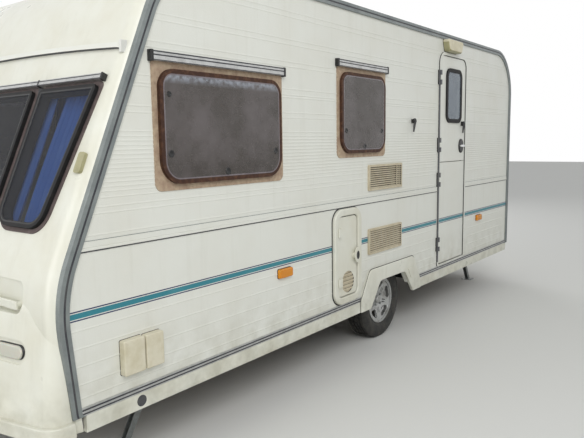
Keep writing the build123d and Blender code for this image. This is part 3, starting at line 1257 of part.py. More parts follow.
# Jockey wheel: outer tube with its clamp, sliding inner tube, swivelling fork, wheel
leg_slope = (DRAWBAR_END_Y - DRAWBAR_START_Y) / (DRAWBAR_END_X - DRAWBAR_START_X)
leg_at_jockey = DRAWBAR_START_Y + leg_slope * (JOCKEY_X - DRAWBAR_START_X)
jockey_x = ahead(JOCKEY_X)
jockey_out = leg_at_jockey + DRAWBAR_WIDTH / 2 / math.cos(math.radians(leg_turn)) + 20.0 + JOCKEY_TUBE_RADIUS
jockey_y = JOCKEY_SIDE * jockey_out
jockey_tube = rod((jockey_x, jockey_y, JOCKEY_FOOT_Z), (jockey_x, jockey_y, JOCKEY_TOP_Z), JOCKEY_TUBE_RADIUS)
clamp_z = (drawbar_low_z + 10.0, drawbar_top_z + 20.0)
clamp = rod((jockey_x, jockey_y, clamp_z[0]), (jockey_x, jockey_y, clamp_z[1]), JOCKEY_TUBE_RADIUS + 9.0)
clamp += block((jockey_x - 30.0, jockey_x + 30.0), (JOCKEY_SIDE * leg_at_jockey, jockey_y), clamp_z)
clamp -= mirror(drawbar_solid, about=Plane.XZ)
jockey_tube += clamp
jockey_tube -= rod(
    (jockey_x, jockey_y, JOCKEY_FOOT_Z - 1.0),
    (jockey_x, jockey_y, JOCKEY_TOP_Z - 6.0),
    JOCKEY_BORE_RADIUS,
)
crank_z = JOCKEY_TOP_Z + 22.0
crank = rod((jockey_x, jockey_y, JOCKEY_TOP_Z - 3.0), (jockey_x, jockey_y, crank_z + 12.0), 10.0)
crank += rod((jockey_x, jockey_y, crank_z), (jockey_x, jockey_y - 130.0, crank_z), 7.0)
crank += rod((jockey_x, jockey_y - 130.0, crank_z - 12.0), (jockey_x, jockey_y - 130.0, crank_z + 85.0), 13.0)
jockey_tube += crank
jockey_inner = rod(
    (jockey_x, jockey_y, JOCKEY_FORK_TOP_Z + SEAT_GAP),
    (jockey_x, jockey_y, JOCKEY_FORK_TOP_Z + JOCKEY_INNER_LENGTH),
    JOCKEY_BORE_RADIUS - RUNNING_GAP,
)
jockey_axle_x = jockey_x - JOCKEY_TRAIL
cheek_y = JOCKEY_WHEEL_WIDTH / 2 + SWING_GAP
cheek_face = (
    Pos(jockey_axle_x, JOCKEY_WHEEL_RADIUS) * Circle(20.0)
    + make_face(Polyline(
        (jockey_axle_x - 20.0, JOCKEY_WHEEL_RADIUS),
        (jockey_x - 34.0, JOCKEY_FORK_TOP_Z),
        (jockey_x + 30.0, JOCKEY_FORK_TOP_Z),
        (jockey_axle_x + 20.0, JOCKEY_WHEEL_RADIUS),
        close=True,
    ))
)
jockey_fork = block(
    (jockey_x - 34.0, jockey_x + 30.0),
    (jockey_y - cheek_y - 5.0, jockey_y + cheek_y + 5.0),
    (JOCKEY_FORK_TOP_Z - 6.0, JOCKEY_FORK_TOP_Z),
)
for side in (-1, 1):
    jockey_fork += slab_y(cheek_face, jockey_y + side * cheek_y, jockey_y + side * (cheek_y + 5.0))
jockey_fork += rod(
    (jockey_axle_x, jockey_y - cheek_y - 9.0, JOCKEY_WHEEL_RADIUS),
    (jockey_axle_x, jockey_y + cheek_y + 9.0, JOCKEY_WHEEL_RADIUS),
    8.0,
)
jockey_section = make_face(FilletPolyline(
    (-JOCKEY_WHEEL_WIDTH / 2, 8.0 + RUNNING_GAP),
    (JOCKEY_WHEEL_WIDTH / 2, 8.0 + RUNNING_GAP),
    (JOCKEY_WHEEL_WIDTH / 2, 30.0),
    (JOCKEY_WHEEL_WIDTH / 2 - 14.0, 34.0),
    (JOCKEY_WHEEL_WIDTH / 2 - 14.0, 66.0),
    (JOCKEY_WHEEL_WIDTH / 2, 72.0),
    (JOCKEY_WHEEL_WIDTH / 2, JOCKEY_WHEEL_RADIUS),
    (-JOCKEY_WHEEL_WIDTH / 2, JOCKEY_WHEEL_RADIUS),
    (-JOCKEY_WHEEL_WIDTH / 2, 72.0),
    (-JOCKEY_WHEEL_WIDTH / 2 + 14.0, 66.0),
    (-JOCKEY_WHEEL_WIDTH / 2 + 14.0, 34.0),
    (-JOCKEY_WHEEL_WIDTH / 2, 30.0),
    radius=(0, 0, 0, 3, 3, 0, 12, 12, 0, 3, 3, 0),
    close=True,
))
jockey_place = Pos(jockey_axle_x, jockey_y, JOCKEY_WHEEL_RADIUS)
jockey_wheel = jockey_place * revolve(Plane.YZ * jockey_section, axis=Axis.Y)

# Corner steadies: channel legs that fold up under the floor, and their brackets
steady_rise = STEADY_PIVOT_Z - STEADY_FOOT_THICK
steady_reach = steady_rise / math.tan(math.radians(STEADY_ANGLE))
steady_legs = {}
steady_brackets = []
for (pivot_ahead, lean), names in zip(STEADIES, STEADY_NAMES):
    pivot_x = ahead(pivot_ahead)
    foot_centre = pivot_x + lean * steady_reach
    along = Vector(foot_centre - pivot_x, -steady_rise).normalized()
    across = Vector(-along.Y, along.X)
    pivot = Vector(pivot_x, STEADY_PIVOT_Z)
    foot = Vector(foot_centre, STEADY_FOOT_THICK)
    shape = make_face(Polyline(
        tuple(pivot + across * STEADY_EYE)[:2],
        tuple(foot + across * 17.0)[:2],
        tuple(foot - across * 17.0)[:2],
        tuple(pivot - across * STEADY_EYE)[:2],
        close=True,
    )) + Pos(pivot.X, pivot.Y) * Circle(STEADY_EYE)
    shape = shape & panel((-FAR, STEADY_FOOT_THICK - 1.0), (FAR, FAR), 0.0)
    leg = slab_y(shape, STEADY_Y - STEADY_WIDTH / 2, STEADY_Y + STEADY_WIDTH / 2)
    pocket_shape = offset(shape, amount=-STEADY_SHEET) + make_face(Polyline(
        tuple(pivot + across * 0.0)[:2],
        tuple(foot + across * 0.0)[:2],
        tuple(foot + across * 60.0)[:2],
        tuple(pivot + across * 60.0)[:2],
        close=True,
    ))
    inner_half = STEADY_WIDTH / 2 - STEADY_SHEET
    leg -= slab_y(pocket_shape, STEADY_Y - inner_half, STEADY_Y + inner_half) & block(
        (-FAR, FAR), (-FAR, FAR), (STEADY_FOOT_THICK + 20.0, STEADY_PIVOT_Z - STEADY_EYE - 10.0)
    )
    leg += block(
        (foot_centre - STEADY_FOOT_LENGTH / 2, foot_centre + STEADY_FOOT_LENGTH / 2),
        (STEADY_Y - STEADY_FOOT_WIDTH / 2, STEADY_Y + STEADY_FOOT_WIDTH / 2),
        (0.0, STEADY_FOOT_THICK),
    )
    pin_hole = rod(
        (pivot_x, STEADY_Y - 60.0, STEADY_PIVOT_Z),
        (pivot_x, STEADY_Y + 60.0, STEADY_PIVOT_Z),
        STEADY_PIN + RUNNING_GAP,
    )
    leg -= pin_hole
    steady_legs[names[0]] = leg
    steady_legs[names[1]] = mirror(leg, about=Plane.XZ)
    cheek = Pos(pivot_x, STEADY_PIVOT_Z) * Circle(18.0) + panel(
        (pivot_x - 18.0, STEADY_PIVOT_Z),
        (pivot_x + 18.0, FLOOR_UNDER_Z),
        0.0,
    )
    bracket = block(
        (pivot_x - 90.0, pivot_x + 90.0),
        (STEADY_Y - 44.0, STEADY_Y + 44.0),
        (FLOOR_UNDER_Z - 5.0, FLOOR_UNDER_Z),
    )
    cheek_low = STEADY_WIDTH / 2 + 1.5
    for side in (-1, 1):
        bracket += slab_y(cheek, STEADY_Y + side * cheek_low, STEADY_Y + side * (cheek_low + 5.0))
    bracket += rod(
        (pivot_x, STEADY_Y - cheek_low - 9.0, STEADY_PIVOT_Z),
        (pivot_x, STEADY_Y + cheek_low + 9.0, STEADY_PIVOT_Z),
        STEADY_PIN,
    )
    steady_brackets.append(bracket)

# Rooflight with a hinged lid, and a round roof vent
light_x = ahead(ROOFLIGHT_X)
light_outer = ROOFLIGHT_OPENING / 2 + ROOFLIGHT_FRAME
rooflight_frame = Pos(light_x, 0, ROOF_TOP_Z) * extrude(
    RectangleRounded(2 * light_outer, 2 * light_outer, 30.0) - Rectangle(ROOFLIGHT_OPENING, ROOFLIGHT_OPENING),
    amount=ROOFLIGHT_FRAME_HEIGHT,
)
lid_half = light_outer - 8.0
lid_base_z = ROOF_TOP_Z + ROOFLIGHT_FRAME_HEIGHT + SEAT_GAP
lid = extrude(RectangleRounded(2 * lid_half, 2 * lid_half, 40.0), amount=ROOFLIGHT_LID_HEIGHT, taper=20.0)
lid = fillet(lid.faces().sort_by(Axis.Z)[-1].edges(), 12.0)
lid -= extrude(
    RectangleRounded(2 * lid_half - 2 * ROOFLIGHT_LID_SHEET, 2 * lid_half - 2 * ROOFLIGHT_LID_SHEET, 35.0),
    amount=ROOFLIGHT_LID_HEIGHT - ROOFLIGHT_LID_SHEET,
    taper=20.0,
)
rooflight_lid = Pos(light_x, 0, lid_base_z) * lid
vent_line = (
    (0.0, 0.0),
    (ROOF_VENT_RADIUS - 14.0, 0.0),
    (ROOF_VENT_RADIUS - 22.0, 14.0),
    (ROOF_VENT_RADIUS - 22.0, 24.0),
    (ROOF_VENT_RADIUS, 24.0),
    (ROOF_VENT_RADIUS - 4.0, 38.0),
    (ROOF_VENT_RADIUS - 34.0, 52.0),
    (0.0, 56.0),
)
roof_vent = Pos(ahead(ROOF_VENT_X), ROOF_VENT_Y, ROOF_TOP_Z) * revolve(
    Plane.XZ * make_face(Polyline(*vent_line, close=True)),
    axis=Axis.Z,
)

# Inside: seat lockers, a front chest, kitchen and fridge units, cushions and curtains
inside_y = INNER_HALF_WIDTH - INSIDE_GAP
furniture_base_z = FLOOR_TOP_Z
bench = block(
    (ahead(BENCH_REAR_X), ahead(BENCH_FRONT_X)),
    (inside_y - BENCH_WIDTH, inside_y),
    (furniture_base_z, BENCH_TOP_Z),
)
well_clear = block(
    (well_x[0] - INSIDE_GAP, well_x[1] + INSIDE_GAP),
    (well_y[0] - INSIDE_GAP, FAR),
    (0.0, WELL_TOP_Z + INSIDE_GAP),
)
fridge_unit = block(
    (ahead(-190.0), liner_x[0] - INSIDE_GAP),
    (inside_y - UNIT_DEPTH, inside_y),
    (furniture_base_z, UNIT_TOP_Z),
) - well_clear
kitchen_unit = block(
    (ahead(-760.0), ahead(BENCH_REAR_X) - 40.0),
    (-inside_y, -inside_y + UNIT_DEPTH),
    (furniture_base_z, UNIT_TOP_Z),
) - mirror(well_clear, about=Plane.XZ)
chest = block(
    (ahead(BENCH_FRONT_X) - 260.0, ahead(BENCH_FRONT_X)),
    (-(inside_y - BENCH_WIDTH) + INSIDE_GAP, (inside_y - BENCH_WIDTH) - INSIDE_GAP),
    (furniture_base_z, BENCH_TOP_Z + 60.0),
)
furniture = pieces(bench, mirror(bench, about=Plane.XZ), fridge_unit, kitchen_unit, chest)

cushion_length = (BENCH_FRONT_X - BENCH_REAR_X) / CUSHION_COUNT
cushion_solids = []
for number in range(CUSHION_COUNT):
    start = ahead(BENCH_REAR_X) + number * cushion_length
    cushion = block(
        (start + 3.0, start + cushion_length - 3.0),
        (inside_y - BENCH_WIDTH, inside_y - 4.0),
        (BENCH_TOP_Z + SEAT_GAP, BENCH_TOP_Z + CUSHION_THICK),
    )
    cushion_solids.append(fillet(cushion.edges(), 25.0))
seat_cushions = both_sides(pieces(*cushion_solids))

# Curtains hang at both ends of the big side windows and of the front windows, from tracks
tracks = []
curtain_solids = []
big_window = SIDE_WINDOWS[0]
track_top_z = big_window[3] + 40.0
track_y = (INNER_HALF_WIDTH - TRACK_DEPTH, INNER_HALF_WIDTH)
tracks.append(block(
    (ahead(big_window[1]) - 40.0, ahead(big_window[0]) - 60.0),
    track_y,
    (track_top_z - TRACK_HEIGHT, track_top_z),
))
hang_y = INNER_HALF_WIDTH - TRACK_DEPTH / 2
for start in (ahead(big_window[1]) - 40.0, ahead(big_window[0]) - 60.0 - CURTAIN_WIDTH):
    curtain_solids.append(block(
        (start, start + CURTAIN_WIDTH),
        (hang_y - CURTAIN_THICK / 2, hang_y + CURTAIN_THICK / 2),
        (big_window[2] - CURTAIN_DROP, track_top_z - TRACK_HEIGHT - SEAT_GAP),
    ))
track_s = (front_top + 6.0, front_top + 6.0 + TRACK_HEIGHT)
front_track_y = (FRONT_POST_Y - 20.0, FRONT_OUTER_FOOT_Y + 30.0)
tracks.append(raised(
    FRONT_FACE,
    panel((front_track_y[0], track_s[0]), (front_track_y[1], track_s[1]), 0.0),
    -SKIN_THICK - TRACK_DEPTH,
    -SKIN_THICK,
))
hang_depth = -SKIN_THICK - TRACK_DEPTH / 2
for start in (front_track_y[0], front_track_y[1] - CURTAIN_WIDTH):
    curtain_solids.append(raised(
        FRONT_FACE,
        panel((start, front_foot - CURTAIN_DROP), (start + CURTAIN_WIDTH, track_s[0] - SEAT_GAP), 0.0),
        hang_depth - CURTAIN_THICK / 2,
        hang_depth + CURTAIN_THICK / 2,
    ))
curtain_tracks = both_sides(pieces(*tracks))
curtains = both_sides(pieces(*curtain_solids))

NODES = {
    "floor_panel": floor_panel,
    "side_wall_left": side_wall_left,
    "side_wall_right": side_wall_right,
    "front_panel": front_panel,
    "rear_panel": rear_panel,
    "roof_panel": roof_panel,
    "awning_rails": awning_rails,
    "front_gutter": front_gutter,
    "sill_trims": sill_trims,
    "skirts": skirts,
    "window_rims": pieces(*rims),
    "window_panes": pieces(*panes),
    "window_rails": pieces(*top_rails),
    "appliance_vents": pieces(*fridge_vents),
    "gas_hatch_frame": gas_hatch_frame,
    "gas_locker_liner": gas_locker_liner,
    "gas_hatch_door": gas_hatch_door,
    "inlet_boxes": inlet_boxes,
    "side_markers": side_markers,
    "front_markers": front_markers,
    "rear_lamps": rear_lamps,
    "number_plate": number_plate,
    "grab_handles": grab_handles,
    "awning_lamp": awning_lamp,
    "wall_catch": wall_catch,
    "door_frame": door_frame,
    "door_upper": door_upper,
    "door_window_rim": door_ring,
    "door_window_pane": door_pane,
    "door_lock": door_lock,
    "door_lower": door_lower,
    "wheel_boxes": wheel_boxes,
    "chassis_member_left": member,
    "chassis_member_right": mirror(member, about=Plane.XZ),
    "cross_members": cross_members,
    "drawbar": drawbar,
    "axle": axle,
    "coupling_head": coupling_head,
    "hand_brake": hand_brake,
    "jockey_tube": jockey_tube,
    "jockey_inner": jockey_inner,
    "jockey_fork": jockey_fork,
    "jockey_wheel": jockey_wheel,
    "steady_brackets": both_sides(pieces(*steady_brackets)),
    "tyre_left": left_place * tyre_blank,
    "tyre_right": right_place * tyre_blank,
    "wheel_left": left_place * alloy_blank,
    "wheel_right": right_place * alloy_blank,
    "rooflight_frame": rooflight_frame,
    "rooflight_lid": rooflight_lid,
    "roof_vent": roof_vent,
    "furniture": furniture,
    "seat_cushions": seat_cushions,
    "curtain_tracks": curtain_tracks,
    "curtains": curtains,
    **steady_legs,
}

os.makedirs("parts", exist_ok=True)
for name, solid in NODES.items():
    export_step(solid, f"parts/{name}.step")
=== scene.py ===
"""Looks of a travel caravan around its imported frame, as an add-on that is run as a script."""

import json
import math

import bmesh
import bpy
from bpy.props import FloatProperty, FloatVectorProperty, IntProperty, PointerProperty
from mathutils import Matrix, Vector


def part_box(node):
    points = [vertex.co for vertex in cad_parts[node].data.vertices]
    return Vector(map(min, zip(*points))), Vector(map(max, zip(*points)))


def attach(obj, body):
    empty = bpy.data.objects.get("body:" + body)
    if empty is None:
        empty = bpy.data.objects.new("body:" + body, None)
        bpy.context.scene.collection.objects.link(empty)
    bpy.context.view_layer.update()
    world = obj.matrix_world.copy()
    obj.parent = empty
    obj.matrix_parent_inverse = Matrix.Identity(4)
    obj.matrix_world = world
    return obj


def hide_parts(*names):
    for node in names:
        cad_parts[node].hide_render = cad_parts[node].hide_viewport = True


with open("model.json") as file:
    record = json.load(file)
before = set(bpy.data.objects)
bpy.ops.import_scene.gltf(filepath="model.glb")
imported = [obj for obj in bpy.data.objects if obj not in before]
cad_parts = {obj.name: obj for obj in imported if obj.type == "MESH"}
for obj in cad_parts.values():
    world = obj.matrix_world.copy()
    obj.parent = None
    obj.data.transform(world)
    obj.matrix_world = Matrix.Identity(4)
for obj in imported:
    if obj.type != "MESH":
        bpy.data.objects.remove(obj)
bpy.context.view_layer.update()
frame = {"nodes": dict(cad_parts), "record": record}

bl_info = {
    "name": "Travel Caravan",
    "version": (1, 0, 0),
    "blender": (4, 5, 0),
    "location": "View3D > Sidebar > Caravan",
    "description": "Dresses a travel caravan: walls, glazing, door, wheels, chassis, inside and stage",
    "category": "Object",
}

ROOT = "caravan"

# Planes and lines of the body, read from the frame
WALL_LOW, WALL_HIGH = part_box("side_wall_right")
WALL_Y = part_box("side_wall_left")[1].y
TYRE_LOW, TYRE_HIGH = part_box("tyre_left")
AXLE = (TYRE_LOW + TYRE_HIGH) / 2
REAR_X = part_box("rear_panel")[0].x

# The sloping front: up its slope and straight out of it, through a point on its face
SLOPE_UP = Vector((-0.656, 0.0, 1.509)).normalized()
SLOPE_OUT = Vector((1.509, 0.0, 0.656)).normalized()
SLOPE_FOOT = Vector((2.166, 0.0, 0.928)) + SLOPE_OUT * 0.075


def linear(code):
    """Linear colour with alpha from an sRGB hex value."""
    parts = [int(code[place:place + 2], 16) / 255 for place in (0, 2, 4)]
    return tuple(c / 12.92 if c <= 0.04045 else ((c + 0.055) / 1.055) ** 2.4 for c in parts) + (1.0,)


def colour_property(name, description, code):
    """A colour shown in the panel, its default given as sRGB hex."""
    return FloatVectorProperty(
        name=name, description=description, subtype="COLOR", size=4, min=0.0, max=1.0, default=linear(code)
    )


def length_property(name, description, metres):
    """A length shown in the panel."""
    return FloatProperty(name=name, description=description, unit="LENGTH", min=0.0, default=metres)


class CaravanColours(bpy.types.PropertyGroup):
    """Colours that a user would change."""
    wall: colour_property("Wall", "Ivory paint on the embossed side walls", "E1E2DA")
    moulding: colour_property("Moulding", "Gel coat on front, roof, rear and skirts", "DFDFD3")
    band: colour_property("Band", "Wide middle band of the side stripe", "2E7F8C")
    pinstripe: colour_property("Pinstripe", "Thin lines along both edges of the band", "28305A")
    rubber: colour_property("Rubber", "Dark rubber round the panes", "3B2419")
    flange: colour_property("Flange", "Sun-bleached rubber flange on the wall", "A38B76")
    glass: colour_property("Acrylic", "Smoked acrylic of the side panes", "4A4440")
    curtain: colour_property("Curtain", "Blue curtain cloth", "3F72C6")
    cushion: colour_property("Cushion", "Woven cover of the seats", "5B6B86")


class CaravanSizes(bpy.types.PropertyGroup):
    """Sizes that a user would change."""
    rib_height: length_property("Rib height", "How far an embossed line stands out", 0.0016)
    rib_half: length_property("Rib half width", "Half the width of an embossed line", 0.0055)
    fine_pitch: length_property("Fine rib pitch", "Distance between the fine ribs", 0.020)
    band_foot: length_property("Stripe foot", "Height of the stripe's lower edge", 0.823)
    band_width: length_property("Stripe width", "Height of the whole stripe", 0.044)
    tread_depth: length_property("Tread depth", "Depth of the tyre's grooves", 0.006)
    pleats: IntProperty(name="Pleats", description="Pleats in a gathered curtain", min=2, max=12, default=6)

# Name of each side, with the sign of y there, and two directions
SIDES = (("left", 1.0), ("right", -1.0))
UP = Vector((0.0, 0.0, 1.0))
ACROSS = Vector((0.0, 1.0, 0.0))

# Embossed lines of a wall: above its band of fine ribs, the band's top and foot, and below it
UPPER_LINES = (2.330, 2.300, 2.170, 2.140, 2.040, 2.012, 1.882, 1.847, 1.832, 1.742, 1.712, 1.627)
FINE_BAND = (1.605, 1.365)
LOWER_LINES = (1.339, 1.300, 1.272, 1.180, 1.150, 0.780, 0.700, 0.620, 0.540, 0.478)

# Seam strip of a wall: foot, top and how far each step stands out, then its dark line below and grey line
# along its top, both painted shadow
SEAM_STEPS = ((1.1165, 1.130, 0.0055), (1.130, 1.158, 0.0025))
SEAM_LINES = (("seam_shadow_", "insert", (1.111, 1.1158)), ("seam_top_shadow_", "rail", (1.1578, 1.1594)))
SEAM_LINE_PROUD = 0.0032
SEAM_FRONT_GAP = 0.052
SEAM_DOOR_LAP = 0.008

# Lines of the side stripe: tape, then lower and upper edge as shares of the stripe's width; its ends
STRIPE_LINES = (("pinstripe", 0.0, 0.125), ("band", 0.227, 0.773), ("pinstripe", 0.875, 1.0))
STRIPE_FRONT_GAP = 0.006
STRIPE_DOOR_LAP = 0.009

# Distance of the door leaves' hinged edge from the front of the door frame
LEAF_INSET = 0.046

# Heights of the two inserts of a sill trim, and half the length that the wheel spat covers
SILL_INSERTS = ((0.4065, 0.4130), (0.4225, 0.4300))
SPAT_HALF = 0.480

# Faces of a wheel spat: how far they stand out and reach from the axle; their gasket's growth and place
SPAT_PROUD = 0.020
SPAT_REACH = 0.5
SPAT_GASKET_GROWTH = ((0, 1.021), (2, 1.034))
SPAT_GASKET_PROUD = 0.0125

# Dark lines pressed into a window's top rail: foot and height above the rail's lower edge
RAIL_LINES = ((0.0005, 0.0045), (0.0225, 0.0065), (0.0385, 0.0065))
FRONT_RAIL_LINES = ((0.0005, 0.0045), (0.0190, 0.0050))

# Half the length of a rail's end cap, the height of the front rail's foot, and the middle of a front post
RAIL_CAP_HALF = 0.009
FRONT_RAIL_Z = 1.850
POST_Y = 0.486

# Dark strip on a front post: half its width, its length below the rail, how far it stands out
POST_STRIP = (0.016, 0.060, 0.0048)

# Where the front windows' reveals lie: heights, reach from the middle, and depth behind the slope
REVEAL_Z = (1.10, 1.90)
REVEAL_Y = 1.06
REVEAL_DEPTH = (-0.12, -0.001)

# Depth of a side wall with its panes, and how far a rim's edging stands out at least
SIDE_DEPTH = 0.075
RIM_EDGING = 0.0055

# Curtains as they were cut: width of one, its share at the front's outer and inner ones, and lengths
CURTAIN_CUT_WIDTH = 0.362
CURTAIN_OUTER_SHARE = 1.55
CURTAIN_INNER_SHARE = 0.60
CURTAIN_FRONT_LENGTH = 0.780

# Outer end of a rear lamp and the width of each of its three lenses
LAMP_OUTER_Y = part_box("rear_lamps")[1].y
LAMP_THIRD = (LAMP_OUTER_Y - min(abs(vert.co.y) for vert in frame["nodes"]["rear_lamps"].data.vertices)) / 3

# Plain rim of an appliance vent, and how far the dark sheet behind its louvres, painted shade, keeps inside
# it
VENT_RIM = 0.012
VENT_SHADE_INSET = 0.017

# Ahead of the axle and height: the gas hatch's round vent with its radius, its lock, and a skirt plug
HATCH_VENT = (0.655, 0.589, 0.0765)
HATCH_LOCK = (0.560, 0.767)
HATCH_LOCK_SQUEEZE = 0.62
SKIRT_PLUG = (2.474, 0.363)

# Height between the front's round lenses and its corner markers
CORNER_MARKER_Z = 1.2

# Height between the door's lock and the retainer above it, and how far the lock's lever stands out
LOCK_TOP = 1.65
LEVER_PROUD = 0.0125

# Hinge strip on the door: ranges ahead of the leaves' edge, out of the wall, and in height
HINGE_STRIP = ((0.006, 0.026), (0.004, 0.0102), (0.475, 2.150))

# Out of the wall: the door frame's seal behind its face (its own black rubber, deepened as painted shade in
# the gap), its edge (black as painted shade in the gap), and its hinge plates
FRAME_SEAL_AND_SHADE = -0.02
FRAME_SHADE_EDGE = 0.0079
FRAME_HINGE = 0.0085

# Columns of a curtain's mesh in each pleat
CURTAIN_STEPS = 30

# Cord round a seat cushion: its levels as shares of the half height, and its radius
PIPING_LEVELS = (-0.66, 0.66)
PIPING_RADIUS = 0.0032

# Black rod hanging down and forward from a door retainer's knob, painted as its cast shadow
CATCH_SHADOW_ROD = Vector((0.030, 0.004, -0.085))

# How far a pane laps over its rubber and stands out of the CAD pane, and the width of its bonded border
PANE_LAP = 0.010
PANE_LIFT = 0.0055
PANE_BORDER = 0.007

# Turn catches on the side panes: ahead of the axle, height, radius; and how far they stand out of the wall
WINDOW_CATCHES = (
    (1.855, 1.420, 0.020), (2.245, 1.520, 0.018), (1.450, 1.520, 0.018), (2.245, 1.800, 0.014),
    (0.445, 1.530, 0.018), (0.690, 1.640, 0.016), (0.205, 1.640, 0.016),
)
WINDOW_CATCH_PROUD = 0.0262

# Profile of a turn catch: outward, and share of its radius
CATCH_PROFILE = (
    (0.0, 0.0), (0.0, 0.4), (0.002, 0.55), (0.002, 0.9), (0.0, 1.0), (-0.002, 1.0), (-0.002, 0.0),
)

# Round fittings as (outward, radius) profiles
RETAINER_PROFILE = ((-0.010, 0.0), (-0.010, 0.022), (0.002, 0.022), (0.007, 0.015), (0.009, 0.0))
KEY_PLATE_PROFILE = (
    (-0.004, 0.0), (-0.004, 0.030), (0.0012, 0.030), (0.0018, 0.026), (0.0005, 0.022), (0.0005, 0.0),
)
PLUG_PROFILE = (
    (-0.002, 0.0), (-0.002, 0.027), (0.002, 0.027), (0.0035, 0.022), (0.0015, 0.018), (0.0015, 0.0),
)
HUB_CAP_PROFILE = ((-0.002, 0.0), (-0.002, 0.030), (0.010, 0.030), (0.015, 0.024), (0.017, 0.0))

# Steps round a tyre, its bead radius, the middles of its grooves, its wheel's bolts, and how far the
# wheel's face lies out of the tyre's middle
TYRE_STEPS = 120
BEAD_RADIUS = 0.168
GROOVES = (0.042, 0.0145)
BOLT_CIRCLE = 0.050
BOLT_COUNT = 4
BOLT_RADIUS = 0.0095
WHEEL_FACE = 0.040

# Cloth work: voxel of the cushion's even mesh, its simulation, and how far it may swell
CUSHION_VOXEL = 0.016
CUSHION_FRAMES = 18
CUSHION_PRESSURE = 4.0
CUSHION_STIFFNESS = 30.0
CUSHION_SWELL = 0.014

# Scale of a pattern drawn out in streaks down a panel
WALL_STREAKS = (1.0, 1.0, 0.07)
PANEL_STREAKS = (1.0, 1.0, 0.10)


def add(tree, kind, inputs=None, **settings):
    """Add a shader node with its settings, and set or link its inputs."""
    made = tree.nodes.new(kind)
    for name, value in settings.items():
        setattr(made, name, value)
    for socket, value in (inputs or {}).items():
        if isinstance(value, bpy.types.NodeSocket):
            tree.links.new(value, made.inputs[socket])
        else:
            made.inputs[socket].default_value = value
    return made


class Finish:
    """One material being made: its tree, its shader and the patterns laid on it."""

    def __init__(self, name, colour, roughness, metallic=0.0, **sockets):
        self.material = bpy.data.materials.new(name)
        self.material.use_nodes = True
        self.tree = self.material.node_tree
        self.tree.nodes.clear()
        values = {"Base Color": colour, "Roughness": roughness, "Metallic": metallic}
        values.update({key.replace("_", " "): value for key, value in sockets.items()})
        self.shader = add(self.tree, "ShaderNodeBsdfPrincipled", values)
        output = add(self.tree, "ShaderNodeOutputMaterial")
        self.tree.links.new(self.shader.outputs["BSDF"], output.inputs["Surface"])
        self.place = add(self.tree, "ShaderNodeTexCoord").outputs["Object"]
        self.colour = colour
        self.height = None

    def stretched(self, scale):
        """Object coordinates stretched along each axis."""
        return add(self.tree, "ShaderNodeMapping", {"Vector": self.place, "Scale": scale}).outputs["Vector"]

    def patches(self, size, low, high, detail=3.0, scale=(1.0, 1.0, 1.0)):
        """Soft patches of about a real size in metres, as a factor from 0 to 1."""
        spots = add(self.tree, "ShaderNodeTexNoise", {
            "Vector": self.stretched(scale), "Scale": 1.0 / size, "Detail": detail, "Roughness": 0.6,
        })
        return add(self.tree, "ShaderNodeMapRange", {
            "Value": spots.outputs[0], "From Min": low, "From Max": high,
        }).outputs["Result"]

    def ramp(self, axis, start, end):
        """A factor that rises from 0 at one place along an axis to 1 at another."""
        parts = add(self.tree, "ShaderNodeSeparateXYZ", {"Vector": self.place})
        return add(self.tree, "ShaderNodeMapRange", {
            "Value": parts.outputs[axis], "From Min": start, "From Max": end,
        }).outputs["Result"]

    def times(self, first, second):
        """Product of two factors."""
        return add(self.tree, "ShaderNodeMath", {0: first, 1: second}, operation="MULTIPLY").outputs[0]

    def tint(self, factor, colour, amount=1.0):
        """Lay a second colour over the first by a factor."""
        strength = self.times(factor, amount)
        blend = add(self.tree, "ShaderNodeMix", {0: strength, 6: self.colour, 7: colour}, data_type="RGBA")
        self.colour = blend.outputs[2]
        self.tree.links.new(self.colour, self.shader.inputs["Base Color"])
        return self

    def gloss(self, factor, smooth, rough):
        """Vary roughness between two values by a factor."""
        spread = add(self.tree, "ShaderNodeMapRange", {"Value": factor, "To Min": smooth, "To Max": rough})
        self.tree.links.new(spread.outputs["Result"], self.shader.inputs["Roughness"])
        return self

    def bump(self, factor, depth):
        """Raise the surface by a factor times a depth in metres."""
        inputs = {"Height": factor, "Distance": depth, "Strength": 1.0}
        if self.height is not None:
            inputs["Normal"] = self.height
        self.height = add(self.tree, "ShaderNodeBump", inputs).outputs["Normal"]
        self.tree.links.new(self.height, self.shader.inputs["Normal"])
        return self

    def stain(self, size, low, high, code, amount, **pattern):
        """Lay patches of a second colour over the first."""
        return self.tint(self.patches(size, low, high, **pattern), linear(code), amount)

    def grime(self, top, foot, size, low, high, code):
        """Dirty the piece in patches that thicken from one height down to another."""
        spots = self.times(self.ramp("Z", top, foot), self.patches(size, low, high))
        return self.tint(spots, linear(code), 0.45)

    def wear(self, size, low, high, smooth, rough, **pattern):
        """Vary roughness between two values in patches."""
        return self.gloss(self.patches(size, low, high, **pattern), smooth, rough)

    def grain(self, size, depth, detail=3.0, **pattern):
        """Raise a fine grain of a size to a depth, both in metres."""
        return self.bump(self.patches(size, 0.3, 0.7, detail, **pattern), depth)

    def threads(self, place, scale, along):
        """Even bands that follow each other along an axis, as a factor from 0 to 1."""
        bands = {"Vector": place, "Scale": scale}
        return add(self.tree, "ShaderNodeTexWave", bands, bands_direction=along).outputs["Fac"]


def painted_sheet(colour):
    """Painted aluminium sheet, stucco embossed: satin, faint water streaks, grimy towards the sill."""
    made = Finish("painted aluminium sheet", colour, 0.38, IOR=1.48)
    made.stain(0.55, 0.42, 0.75, "D5D2C4", 0.40).stain(0.05, 0.55, 0.85, "C4C2B4", 0.22, scale=WALL_STREAKS)
    made.grime(0.75, 0.38, 0.12, 0.35, 0.7, "A5A189")
    return made.wear(0.2, 0.3, 0.7, 0.30, 0.48).grain(0.004, 0.00025, 1.0).material


